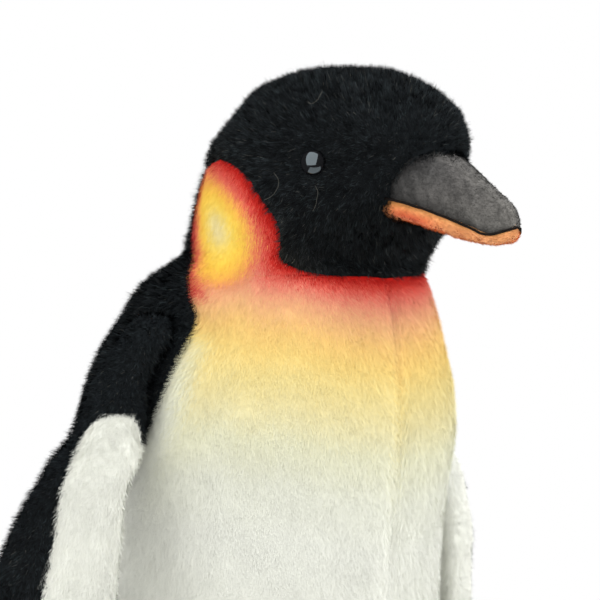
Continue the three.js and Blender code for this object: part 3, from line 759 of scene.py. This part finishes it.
def make_hood(tag, sign, seed):
    points, faces, data, shape = hood_panel()
    points, faces = mirrored(points, faces, sign)
    colours = np.tile(BLACK, (len(points), 1))
    obj = skin(f"hood_{tag}_cloth", points, faces, colours, BACKING, grid_uvs(*shape))
    inside = ["head_stuffing"] if sign > 0 else []
    finish_piece(obj, "torso", [f"hood_{tag}", *inside])
    eye_at = eye_seat()[0] * np.array([sign, 1, 1])
    bill_root = np.array([0.0, -128.0, 528.0])

    def nap(at, n, d):
        """Away from the bill, down behind the crown, and over the cloth below at the edge."""
        way = unit(at - bill_root) + np.array([0.0, 0.35, 0.0])
        way[:, 2] -= 0.9 * smooth(-at[:, 2], -572, -535)
        slope = (hood_edge(d[:, 0] + 1) - hood_edge(d[:, 0] - 1)) / 2 / HEAD_ARC
        off = sign * slope[:, None] * unit(np.cross(UP, n)) - UP
        near = fade(above_edge(d), 6)
        return way + 1.8 * near[:, None] * unit(off)

    def keep(at, d, r):
        """Clear of the eye, of the hood's own edge and of the bill's root."""
        clear = np.linalg.norm(at - eye_at, axis=1) > EYE["radius"] - 1.4
        inside = above_edge(d) > 0.5 + 0.9 * r.normal(size=len(at))
        across, up = np.abs(at[:, 0] / 25), np.abs((at[:, 2] - 533.5) / 19.5)
        return clear & inside & ((across**2.8 + up**2.8 > 1) | (at[:, 1] > -90))

    def colour(at, d, r):
        """Black, browner at the edge under the cheek and behind the ear patch."""
        black = black_fibres(at, d, r)
        cheek, nape = bell(d[:, 0] - 50, 16), bell(d[:, 0] - 122, 14)
        brown = fade(above_edge(d), 6) * (cheek + 0.6 * nape)
        return mixed(black, np.array([84.0, 66.0, 40.0]), 0.5 * brown * r.random(len(at)))

    def length(at, d):
        """Shorter round the eye, on the front of the head and over the ear patch."""
        at_eye = bell(np.linalg.norm(at - eye_at, axis=1), 12)
        at_ear = smooth(d[:, 0], 75, 95) * fade(above_edge(d), 12)
        return 5.6 - 2.4 * at_eye - 1.2 * smooth(-at[:, 1], 105, 135) - 0.9 * at_ear

    obj = pile(
        f"hood_{tag}_pile", points, faces, data, nap, colour, PILE_BLACK,
        density=330, length=length, width=0.46,
        lift=lambda at, d: 68 - 34 * fade(above_edge(d), 5),
        seed=seed + 3, keep=keep, uneven=0.5, gather=0.5, deep=0.5, ruffle=1.4, tufted=0.2,
    )
    finish_piece(obj, "torso")


def make_trunk():
    for tag, sign in SIDES:
        seed = 100 if sign > 0 else 200
        make_front(tag, sign, seed)
        make_back(tag, sign, seed)
        make_hood(tag, sign, seed)


def make_lint():
    """A few long pale hairs caught in the hood's pile, curling over it."""
    r = np.random.default_rng(17)
    hairs = (  # side, angle and height of the start, length in mm, heading and bend in degrees
        (-1, 76, 523, 21, 75, 150), (-1, 57, 532, 15, -75, -60),
        (-1, 66, 575, 12, 30, 120), (1, 96, 566, 11, -30, 100),
    )
    for k, (sign, angle, z, length, turn, bend) in enumerate(hairs):
        t = np.linspace(0, 1, 16)
        wander = 12 * waves(t[:, None] * 30 * np.ones(3), 20, 170 + k)
        heading = np.radians(turn + bend * (t - 0.5) + wander)
        angles = angle - np.cumsum(np.cos(heading)) * length / 16 / HEAD_ARC
        heights = z + np.cumsum(np.sin(heading)) * length / 16
        above = HOOD_PROUD + 5.6 + r.random()
        path = face_point(angles, heights) + face_normal(angles, heights) * above
        pale = plain_material(f"lint_{k}", (98, 97, 90), 0.8, 0.2, 0.3)
        obj = cord(f"lint_{k}", path * np.array([sign, 1, 1]), 0.06, pale)
        finish_piece(obj, "torso")


# ---------------------------------------------------------------- bill
def bill_ring(forward, sweep):
    """Points of the bill's section at a distance forward; sweep is the angles, 0 at one mouth
    corner and 180 at the other over the top."""
    half, top, mouth, bottom, exponent = (along(BILL, forward, c) for c in range(1, 6))
    s, c = np.sin(np.radians(sweep)), np.cos(np.radians(sweep))
    tall = np.where(s > 0, top - mouth, mouth - bottom)
    return np.stack(
        [half * power(c, exponent), -forward + 0 * c, mouth + tall * power(s, exponent)], axis=-1
    )


def bill_shell(sweep, rows=46):
    forward = 108 + (195.5 - 108) * np.linspace(0, 1, rows) ** 0.8
    grid = np.stack([bill_ring(np.full(len(sweep), f), sweep) for f in forward])
    # the tip closes in a blunt point
    tip = np.array([0, -BILL_TIP[0], BILL_TIP[1]])
    closing = []
    for inward, onward in ((0.35, 0.5), (0.65, 0.82), (0.88, 0.97), (1.0, 1.0)):
        row = grid[-1] + (tip - grid[-1]) * inward
        row[:, 1] = -(195.5 + 2.0 * onward)
        closing.append(row)
    return np.concatenate([grid, np.stack(closing)])


def upper_bill_colours(points, forward, across):
    """Grey, darker at the root, along the mouth and on the cheeks next to the hood. The dark root and
    cheeks are partly painted shadow of the hood's pile, and the lighter tip is painted light.
    """
    # painted shadow: the cheeks next to the hood take the darker grey of the root
    shaded = forward - 20 * smooth(across, 0, 0.7) * smooth(-across, -1, -0.85)
    # lighter towards the tip: painted light; darker at the root: partly painted shadow, partly a
    # blend into the black fibres over it
    colours = ramp(shaded, [
        (108, (30, 30, 31)), (118, (40, 39, 39)), (128, (66, 65, 64)), (142, (82, 80, 78)),
        (165, (86, 84, 81)), (198, (102, 100, 96)),
    ])
    colours *= (1 + 0.08 * waves(points, 12, 73) + 0.09 * waves(points, 4, 74))[:, None]
    return colours * (1 - 0.28 * bell(across, 0.18))[:, None]


def lower_bill_colours(points, forward, across):
    """Orange, with a red glow on each side and a yellower rim at the mouth."""
    colours = ramp(forward, [
        (118, (200, 130, 76)), (128, (210, 134, 82)), (148, (218, 148, 94)), (198, (218, 152, 98)),
    ])
    colours += (6 * waves(points, 10, 75) + 4 * waves(points, 4, 76))[:, None]
    glow = bell(forward - 137, 13) * bell(across + 0.5, 0.26)
    colours = mixed(colours, np.array([204.0, 84.0, 48.0]), 0.75 * glow)
    return mixed(colours, np.array([204.0, 150.0, 84.0]), 0.6 * bell(across, 0.16))


def make_bill_shell(name, low, colours_of, nodes, uneven, deep, ruff_end):
    """One half of the bill, its velour nap, and the hood's pile that lies over its root."""
    sweep = np.linspace(low, low + 180, 49)
    grid = bill_shell(sweep)
    rows, columns = grid.shape[:2]
    points = grid.reshape(-1, 3)
    middle = np.stack([0 * points[:, 0], points[:, 1], 0 * points[:, 2] + 514], axis=1)
    out = unit(points - middle)
    points = points + out * (0.35 * waves(points, 16, 71) + 0.2 * waves(points, 7, 72))[:, None]
    across = np.tile(np.sin(np.radians(sweep)), rows)
    points = points - out * (0.9 * bell(np.abs(across), 0.1))[:, None]
    faces = grid_faces(rows, columns)
    forward = -points[:, 1]
    colours = np.clip(colours_of(points, forward, across), 4, 255)
    uvs = grid_uvs(rows, columns)
    obj = skin(f"bill_{name}_cloth", points, faces, colours, VELOUR, uvs, thick=1.4)
    finish_piece(obj, "torso", nodes)
    obj = pile(
        f"bill_{name}_nap", points, faces, np.concatenate([colours, forward[:, None]], axis=1),
        toward([0.0, -1.0, -0.15]),
        lambda at, d, r: d[:, :3] * (1 + 0.06 * r.normal(size=(len(at), 1))), VELOUR,
        density=420, length=2.3, width=0.34, lift=24, seed=300 + low, tuft=1.5, gather=0.5,
        ruffle=0.9, uneven=uneven, deep=deep, glint=0.12, roll=0.1,
        keep=lambda at, d, r: d[:, 3] > 118,
    )
    finish_piece(obj, "torso")
    obj = pile(
        f"hood_ruff_{name}", points, faces, np.stack([forward, np.abs(across)], axis=1),
        toward([0.0, -1.0, 0.0]), black_fibres, PILE_BLACK,
        density=330, length=4.4, width=0.46, lift=48, seed=330 + low, uneven=0.5, gather=0.5,
        deep=0.5, ruffle=1.3,
        keep=lambda at, d, r: d[:, 0] < ruff_end(d[:, 1]) + 1.8 * r.normal(size=len(at)),
    )
    finish_piece(obj, "torso")


def make_mouth_line():
    """A soft cord laid in the seam between the halves of the bill, round its tip."""
    forward = np.linspace(121, 195.5, 40)
    side = np.stack([along(BILL, forward, 1) + 0.9, -forward, along(BILL, forward, 3)], axis=1)
    tip = np.array([[3.0, -198.6, 506.2], [0, -199.3, 507.0]])
    flip = np.array([-1, 1, 1])
    path = np.concatenate([side, tip, tip[:1] * flip, side[::-1] * flip])
    path = path + 0.12 * np.stack([waves(path, 9, 80 + k) for k in range(3)], axis=1)
    dark = plain_material("mouth_line", (24, 20, 18), 0.9, 0.1, 0.5)
    obj = cord("mouth_trim_line", path, 0.75, dark)
    obj.data.bevel_resolution = 3
    finish_piece(obj, "torso", ["mouth_trim"])


def make_bill():
    make_bill_shell(
        "upper", 0, upper_bill_colours, ["bill_upper", "bill_stuffing"],
        0.14, 0.94, lambda high: 121.5 + 24 * high,
    )
    make_bill_shell(
        "lower", 180, lower_bill_colours, ["bill_lower"],
        0.05, 0.98, lambda high: 124.5,
    )
    make_mouth_line()


# ---------------------------------------------------------------- eyes
def lathe(name, profile, at, axis, segments, material):
    """A profile of (radius, height) in mm, spun about axis at a point."""
    axis = unit(np.asarray(axis, float))
    a = unit(np.cross(axis, [0.0, 0.0, 1.0]))
    b = np.cross(axis, a)
    turn = np.linspace(0, 2 * math.pi, segments, endpoint=False)
    ring = np.cos(turn)[:, None] * a + np.sin(turn)[:, None] * b
    points = np.concatenate([at + axis * h + ring * max(r, 1e-3) for r, h in profile])
    faces = grid_faces(len(profile), segments, closed=True)
    obj = mesh_object(name, points, faces)
    obj.data.materials.append(material)
    return obj


def make_eyes():
    gloss = plain_material("eye_plastic", (7, 7, 8), 0.07, 0.5, 0.3, grain_mm=6, bump=0.0)
    at, n = eye_seat()
    wide, tall = EYE["radius"], EYE["dome"]
    profile = [(0.0, -6.0), (1.8, -6.0), (1.8, -1.2), (wide - 0.6, -1.2), (wide, -0.4)]
    for t in np.linspace(0, math.pi / 2, 22):
        profile.append((wide * math.cos(t), EYE_RIM + tall * math.sin(t)))
    for tag, sign in SIDES:
        mirror = np.array([sign, 1, 1])
        obj = lathe(f"eye_{tag}_dome", profile, at * mirror, n * mirror, 56, gloss)
        finish_piece(obj, "torso", [f"eye_{tag}"])


# ---------------------------------------------------------------- flippers
def flipper_place(local, sign):
    return (turned(local, TWIST) + SHOULDER) * np.array([sign, 1, 1])


def flipper_grid(rows=78, columns=56):
    drop = np.concatenate([[-12, -11.5, -10.6], np.linspace(-9, 230, rows - 6), [231.8, 232.8, 233]])
    sweep = np.linspace(0, 2 * math.pi, columns, endpoint=False)
    outer, inner, thick = (along(FLIPPER_ROWS, drop, c) for c in (1, 2, 3))
    close_ends((outer, inner, thick), (0.01, 0.35, 0.75), (0.75, 0.3, 0.01))
    reach = -9 * smooth(-drop, -26, 4)  # the root is drawn in towards the body
    x = LEAN_OUT * drop + reach + (outer - inner) / 2
    local = np.stack(
        [
            x[:, None] + (outer + inner)[:, None] / 2 * np.cos(sweep),
            -along(FLIPPER_ROWS, drop, 4)[:, None] + thick[:, None] * power(np.sin(sweep), 0.85),
            np.repeat(-drop[:, None], columns, axis=1),
        ],
        axis=-1,
    )
    return local, drop, columns


def flipper_parts(local):
    """(drop, x and y from the flipper's middle line) of points in the flipper's own frame."""
    drop = -local[:, 2]
    return drop, local[:, 0] - LEAN_OUT * drop, local[:, 1] + along(FLIPPER_ROWS, drop, 4)


def whiteness(local):
    """How far inside the white panel's edge a point is, mm; negative is outside."""
    drop, x, y = flipper_parts(local)
    seam = along(FLIPPER_SEAM, drop)
    inside = np.minimum(seam - x, 3.0 - y + 14.5 * (seam - x) / (70 + seam))
    dome = 19 - np.hypot(np.maximum(64 - drop, 0), x + 9)  # the rounded top of the panel
    return np.where(drop < 64, np.minimum(inside, dome), inside)


FLIPPER_PILES = {
    "black": {
        "colour": black_fibres, "material": PILE_BLACK, "length": 6.0, "lift": 50, "uneven": 0.35,
        "glint": 0.2, "ruffle": 1.0, "gather": 0.4, "deep": 0.5, "roll": 0.5,
    },
    "white": {
        "colour": lambda at, d, r: FLIPPER_WHITE + 0 * at, "material": PILE_LIGHT, "length": 5.0,
        "lift": 36, "uneven": 0.03, "glint": 0.1, "ruffle": 0.6, "gather": 0.12, "deep": 0.96,
        "roll": 0.15,
    },
}


def flipper_keep(hue):
    """Fibres of one hue, outside or inside the white panel's edge by the first value of data."""
    def keep(at, d, r):
        edge = d[:, 0] + 0.8 * r.normal(size=len(at))
        return edge < -0.2 if hue == "black" else edge > 0.4

    return keep


def joint_place(name):
    return next(j for j in frame["joints"] if j["name"] == name)["pos_m"]


def make_flippers():
    grid, drop, columns = flipper_grid()
    local = grid.reshape(-1, 3)
    outward = grid_faces(len(drop), columns, closed=True)
    drops, x, y = flipper_parts(local)
    white = whiteness(local)
    out = unit(np.stack([x * 0.25, y, 0 * x], axis=1))
    draw = 1.5 * bell(white, 3.2) * (drops > 30)  # the panel's seam is drawn in
    # black backing painted lighter than the fibres: painted light in the pile's crevices
    colours = np.where(white[:, None] > 0, FLIPPER_WHITE, BACKING_BLACK_PAINTED_LIGHT)
    data = np.concatenate([white[:, None], local], axis=1)
    a = math.radians(TWIST)
    down_x = LEAN_OUT * math.cos(a) + 0.1 * math.sin(a)
    down_y = LEAN_OUT * math.sin(a) - 0.1 * math.cos(a)
    for tag, sign in SIDES:
        seed = 400 if sign > 0 else 500
        puff = 0.7 * waves(local, 48, seed) + 0.35 * waves(local, 22, seed + 1)
        points = flipper_place(local + out * (puff - draw)[:, None], sign)
        faces = outward[:, ::-1] if sign > 0 else outward
        uvs = grid_uvs(len(drop), columns)
        obj = skin(f"flipper_{tag}_cloth", points, faces, colours, BACKING, uvs, thick=1.4)
        hinge = joint_place(f"flipper_{tag}_root")
        start = (hinge[0] - sign * 0.004, hinge[1], hinge[2] + 0.004)
        end = (hinge[0] + sign * 0.012, hinge[1], hinge[2] - 0.034)
        nodes = [f"flipper_back_{tag}", f"flipper_front_{tag}", f"flipper_stuffing_{tag}"]
        finish_piece(obj, f"flipper_{tag}", nodes, (start, end))
        for k, (hue, look) in enumerate(FLIPPER_PILES.items()):
            fibres = pile(
                f"flipper_{tag}_{hue}_pile", points, faces, data,
                toward([down_x * sign, down_y, -1.0]),
                density=lambda at, d: 170 + 70 * smooth(at[:, 2], 260, 300), width=0.5,
                seed=seed + 3 + k, keep=flipper_keep(hue), **look,
            )
            finish_piece(fibres, f"flipper_{tag}", (), (start, end))


# ---------------------------------------------------------------- tail
def make_tail():
    back = np.concatenate([[-9, -8.8, -6], np.linspace(0, 67, 30), [69, 70.5, 71]])
    sweep = np.linspace(0, 2 * math.pi, 48, endpoint=False)
    half, thick = along(TAIL_ROWS, back, 1), along(TAIL_ROWS, back, 2)
    close_ends((half, thick), (0.01, 0.8), (0.75, 0.35, 0.01))
    local = np.stack(
        [
            half[:, None] * np.cos(sweep),
            np.repeat(back[:, None], 48, axis=1),
            thick[:, None] * power(np.sin(sweep), 0.9),
        ],
        axis=-1,
    ).reshape(-1, 3)
    out = unit(local * np.array([0.3, 0, 1]))
    edge = bell(local[:, 2], 1.6)
    local = local + out * (0.5 * waves(local, 24, 90) - 0.8 * edge)[:, None]
    a = math.radians(TAIL_DROOP)
    points = np.stack(
        [
            local[:, 0],
            local[:, 1] * math.cos(a) + local[:, 2] * math.sin(a),
            -local[:, 1] * math.sin(a) + local[:, 2] * math.cos(a),
        ],
        axis=1,
    ) + TAIL_ROOT
    faces = grid_faces(len(back), 48, closed=True)[:, ::-1]
    colours = np.tile(BLACK, (len(points), 1))
    obj = skin("tail_cloth", points, faces, colours, BACKING, grid_uvs(len(back), 48), thick=1.4)
    hinge = joint_place("tail_root")
    way = np.array([0, math.cos(a), -math.sin(a)])
    bend = (tuple(np.array(hinge) - way * 0.004), tuple(np.array(hinge) + way * 0.016))
    finish_piece(obj, "tail", ["tail_upper", "tail_under", "tail_stuffing"], bend)
    fibres = pile(
        "tail_pile", points, faces, local, toward(way), black_fibres, PILE_BLACK,
        density=130, length=7.0, width=0.5, lift=34, seed=600,
        uneven=0.35, gather=0.5, deep=0.5, keep=lambda at, d, r: d[:, 1] > -3,
    )
    finish_piece(fibres, "tail", (), bend)


# ---------------------------------------------------------------- feet and base
def outline_points(count):
    """The foot's outline as a smooth closed curve."""
    n = len(FOOT_OUTLINE)
    t = np.linspace(0, n, count, endpoint=False)
    i = t.astype(int)
    f = (t - i)[:, None]
    p = [FOOT_OUTLINE[(i + k) % n] for k in (-1, 0, 1, 2)]
    return 0.5 * (
        2 * p[1] + (p[2] - p[0]) * f + (2 * p[0] - 5 * p[1] + 4 * p[2] - p[3]) * f**2
        + (3 * p[1] - p[0] - 3 * p[2] + p[3]) * f**3
    )


def foot_place(local, sign):
    return (turned(local, FOOT_SPLAY) + FOOT_AT) * np.array([sign, 1, 1])


FOOT_HEART = np.array([0.0, 22.0])  # the outline shrinks towards this point


def make_foot_top(tag, sign, count=120, rings=26):
    rim = outline_points(count)
    shrink = np.linspace(1, 0.02, rings)
    bed = FOOT_HEART + (rim[None] - FOOT_HEART) * shrink[:, None, None]
    edge = 1 - shrink
    height = 2.3 + 16.2 * (1 - (1 - np.minimum(edge * 1.9, 1)) ** 2.3) ** 0.55
    z = np.repeat(height[:, None], count, axis=1)
    forward = bed[..., 1]
    for toe in (-11.5, 11.5):  # stitched channels between the toes
        line = toe + toe * 0.018 * (forward - 40)
        z = z - 5.5 * bell(bed[..., 0] - line, 2.6) * smooth(forward, 34, 50)
    z = z - 4.5 * smooth(forward, 45, 80) * (edge[:, None] > 0)
    local = np.stack([bed[..., 0], -forward, np.maximum(z, 2.1)], axis=-1).reshape(-1, 3)
    local[:, 2] += 0.4 * waves(local, 18, 95) * smooth(local[:, 2], 4, 9)
    points = foot_place(local, sign)
    faces = grid_faces(rings, count, closed=True)
    if vertex_normals(points, triangles(faces))[len(points) // 2][2] < 0:
        faces = faces[:, ::-1]
    grey = np.tile([44.0, 45.0, 48.0], (len(points), 1))
    colours = grey * (1 + 0.08 * waves(points, 15, 96))[:, None]
    uvs = grid_uvs(rings, count)
    obj = skin(f"foot_{tag}_top", points, faces, colours, VELOUR, uvs, thick=1.4)
    finish_piece(obj, "torso", [f"foot_upper_{tag}", f"foot_stuffing_{tag}"])
    fuzz = pile(
        f"foot_{tag}_nap", points, faces, np.concatenate([colours, local], axis=1),
        toward([0.0, -1.0, -0.2]),
        lambda at, d, r: d[:, :3] * (1 + 0.1 * r.normal(size=(len(at), 1))), VELOUR,
        density=160, length=2.4, width=0.32, lift=35, seed=700 if sign > 0 else 710,
        tuft=2, ruffle=1.2,
    )
    finish_piece(fuzz, "torso")


def plate(name, rings, nodes, flip=False):
    """A flat plate with a rounded edge: rings of points in mm, closed by a face at each end."""
    count = len(rings[0])
    inner = np.arange(count)
    faces = grid_faces(len(rings), count, closed=True).tolist()
    faces += [inner[::-1].tolist(), (inner + (len(rings) - 1) * count).tolist()]
    if flip:
        faces = [f[::-1] for f in faces]
    obj = flat_object(name, placed(np.concatenate(rings)), faces, SOLE)
    finish_piece(obj, "torso", nodes)


def make_sole(tag, sign, count=120):
    rim = outline_points(count)
    rings = []
    for s, h in ((0.3, 0.0), (0.97, 0.0), (1.0, 0.5), (1.0, 1.7), (0.985, 2.0), (0.3, 2.0)):
        x, forward = (FOOT_HEART + (rim - FOOT_HEART) * s).T
        rings.append(foot_place(np.stack([x, -forward, np.full(count, h)], axis=1), sign))
    plate(f"foot_{tag}_bottom", rings, [f"foot_sole_{tag}"], flip=sign < 0)


def make_base(count=120):
    angle = np.linspace(0, 360, count, endpoint=False)
    rim = face_point(np.where(angle > 180, angle - 360, angle), np.full(count, HEM))
    middle = np.array([0, 18.0, 0])
    rings = []
    for s, h in ((0.5, 0.0), (0.95, 0.0), (0.975, 0.4), (0.98, 1.6), (0.96, 2.5), (0.5, 2.5)):
        ring = middle + (rim - middle) * s
        ring[:, 2] = h
        rings.append(ring)
    plate("base_cloth", rings, ["base_panel"])


def make_feet():
    for tag, sign in SIDES:
        make_foot_top(tag, sign)
        make_sole(tag, sign)


# ---------------------------------------------------------------- inner pieces keep their solids
def dress_inner():
    looks = {
        "stuffing": plain_material("fibre_filling", (240, 240, 236), 0.95, 0.1, 0.1, grain_mm=4),
        "pellet_bag": woven_material("pellet_cloth", (196, 190, 174), 0.8),
        "board": plain_material(
            "stiffener", (140, 138, 132), 0.6, 0.3, 0.1, grain_mm=5, bump=0.1
        ),
        "washer": plain_material(
            "washer_plastic", (214, 214, 212), 0.45, 0.5, 0.05, grain_mm=4, bump=0.1
        ),
    }
    for name, obj in frame["nodes"].items():
        for word, look in looks.items():
            if word in name:
                for s in obj.material_slots:
                    s.material = look


# ---------------------------------------------------------------- stage
AMBIENT = 1.03  # strength of the white surroundings
LAMPS = (  # name, azimuth, elevation and distance from the middle, size in metres, power in watts
    ("key", -38, 44, 1.7, (1.4, 1.4), 14), ("side", 30, 30, 1.9, (1.5, 1.5), 26),
    ("rear", 150, 40, 2.0, (1.4, 1.2), 8), ("fill", -112, 22, 1.9, (1.2, 1.4), 17),
)
EYE_PANELS = (  # name; left, right, low and high edge of its mirror image in the eye, mm; radiance
    ("eye_window", (-3.9, 2.6, -0.6, 6.3), 5.0), ("eye_table", (-2.2, 4.8, -6.9, -3.8), 2.6),
)
EYE_PANEL_FAR = 0.9  # metres from the eye


def eye_reflection(across, up):
    """Where a level look along (1, 1, 0) goes after it meets the right eye's dome, at offsets in mm
    from the dome's middle."""
    at, n = eye_seat()
    mirror = np.array([-1, 1, 1])
    centre, axis = (at + n * EYE_RIM) * mirror, n * mirror
    look = np.array([1.0, 1.0, 0.0]) / math.sqrt(2)
    along_axis = np.outer(axis, axis)
    squeeze = (np.eye(3) - along_axis) / EYE["radius"] ** 2 + along_axis / EYE["dome"] ** 2
    start = np.array([1.0, -1.0, 0.0]) / math.sqrt(2) * across + UP * up - look * 60
    a, b, c = look @ squeeze @ look, look @ squeeze @ start, start @ squeeze @ start - 1
    hit = start + look * ((-b - math.sqrt(max(b * b - a * c, 0.0))) / a)
    normal = unit(squeeze @ hit)
    return (centre + hit) * MM + np.array([0, TRUNK_Y * MM, 0]), look - 2 * (look @ normal) * normal


def make_eye_lights():
    """Two panels for each eye, which only that eye mirrors: a window above and its return from the
    table below."""
    far = EYE_PANEL_FAR
    for name, (left, right, low, high), radiance in EYE_PANELS:
        place, way = eye_reflection((left + right) / 2, (low + high) / 2)
        spots = [eye_reflection(x, (low + high) / 2)[1] for x in (left, right)]
        rises = [eye_reflection((left + right) / 2, z)[1] for z in (low, high)]
        wide, tall = (2 * math.tan(math.acos(np.clip(p @ q, -1, 1)) / 2) for p, q in (spots, rises))
        power_w = radiance * math.pi * wide * tall * far**2
        for tag, sign in SIDES:
            side = np.array([-sign, 1, 1])
            lamp = area_light(
                f"{name}_{tag}", Vector((place + way * far) * side), Vector(place * side),
                (wide * far, tall * far), power_w, (0.78, 0.93, 1.0),
            )
            eye = bpy.data.collections.new(f"{name}_{tag}_mirror")
            eye.objects.link(bpy.data.objects[f"eye_{tag}_dome"])
            lamp.light_linking.receiver_collection = eye


def area_light(name, place, aim, size, power_w, colour=(1, 1, 1)):
    data = bpy.data.lights.new(name, "AREA")
    data.shape = "RECTANGLE"
    data.size, data.size_y = size
    data.energy = power_w
    data.color = colour
    obj = link(name, data)
    obj.location = place
    obj.rotation_mode = "QUATERNION"
    obj.rotation_quaternion = (Vector(aim) - Vector(place)).to_track_quat("-Z", "Y")
    obj.visible_camera = False
    return obj


def polar(azimuth, elevation, distance, centre):
    a, e = math.radians(azimuth), math.radians(elevation)
    back = Vector((math.sin(a) * math.cos(e), -math.cos(a) * math.cos(e), math.sin(e)))
    return Vector(centre) + back * distance


def make_world():
    """White surroundings, bright to the camera and dim in mirrors."""
    scene = bpy.context.scene
    scene.view_settings.view_transform = "Standard"
    scene.view_settings.look = "None"
    world = bpy.data.worlds.new("studio")
    scene.world = world
    world.use_nodes = True
    tree = world.node_tree
    back = tree.nodes["Background"]
    back.inputs["Color"].default_value = (1, 1, 1, 1)
    path = node(tree, "ShaderNodeLightPath")
    mirrored_level = node(tree, "ShaderNodeMapRange")
    mirrored_level.inputs["To Min"].default_value = AMBIENT
    mirrored_level.inputs["To Max"].default_value = 0.12 * AMBIENT
    tree.links.new(path.outputs["Is Glossy Ray"], mirrored_level.inputs["Value"])
    level = node(tree, "ShaderNodeMix", data_type="FLOAT")
    level.inputs[3].default_value = 1.0
    tree.links.new(path.outputs["Is Camera Ray"], level.inputs[0])
    tree.links.new(mirrored_level.outputs[0], level.inputs[2])
    tree.links.new(level.outputs[0], back.inputs["Strength"])


def make_floor():
    rim = np.linspace(0, 2 * math.pi, 96, endpoint=False)
    circle = np.stack([np.cos(rim), np.sin(rim), 0 * rim], axis=1)
    rings = [circle * r for r in (0.02, 0.5, 1.0, 1.6)]
    faces = grid_faces(4, 96, closed=True).tolist() + [list(range(96))[::-1]]
    paint = plain_material("floor_paint", (236, 236, 234), 0.7, 0.2, 0.01, grain_mm=30, bump=0.0)
    floor = flat_object("floor", np.concatenate(rings), [f[::-1] for f in faces], paint)
    floor.visible_glossy = False


def make_stage():
    make_world()
    make_floor()
    centre = (0, 0, 0.45)
    for name, azimuth, elevation, distance, size, power_w in LAMPS:
        spot = polar(azimuth, elevation, distance, centre)
        area_light(name, spot, centre, size, power_w).visible_glossy = False
    make_eye_lights()


def make_camera():
    data = bpy.data.cameras.new("camera")
    data.sensor_width = 36
    distance = 9.0
    data.lens = 36 * (distance - 0.06) / 0.3444  # true to scale 60 mm in front of the trunk's axis
    data.clip_start, data.clip_end = 0.05, 50
    cam = link("camera", data)
    across = Vector((math.sqrt(0.5), -math.sqrt(0.5), 0))
    aim = Vector((0, TRUNK_Y * MM, 0.4657)) + across * 0.0172
    back = Vector((-math.sqrt(0.5), -math.sqrt(0.5), 0))
    cam.location = aim + back * distance
    cam.rotation_mode = "QUATERNION"
    cam.rotation_quaternion = (-back).to_track_quat("-Z", "Y")
    bpy.context.scene.camera = cam


make_camera()
dress_inner()
make_trunk()
make_lint()
make_bill()
make_eyes()
make_flippers()
make_tail()
make_feet()
make_base()
make_stage()
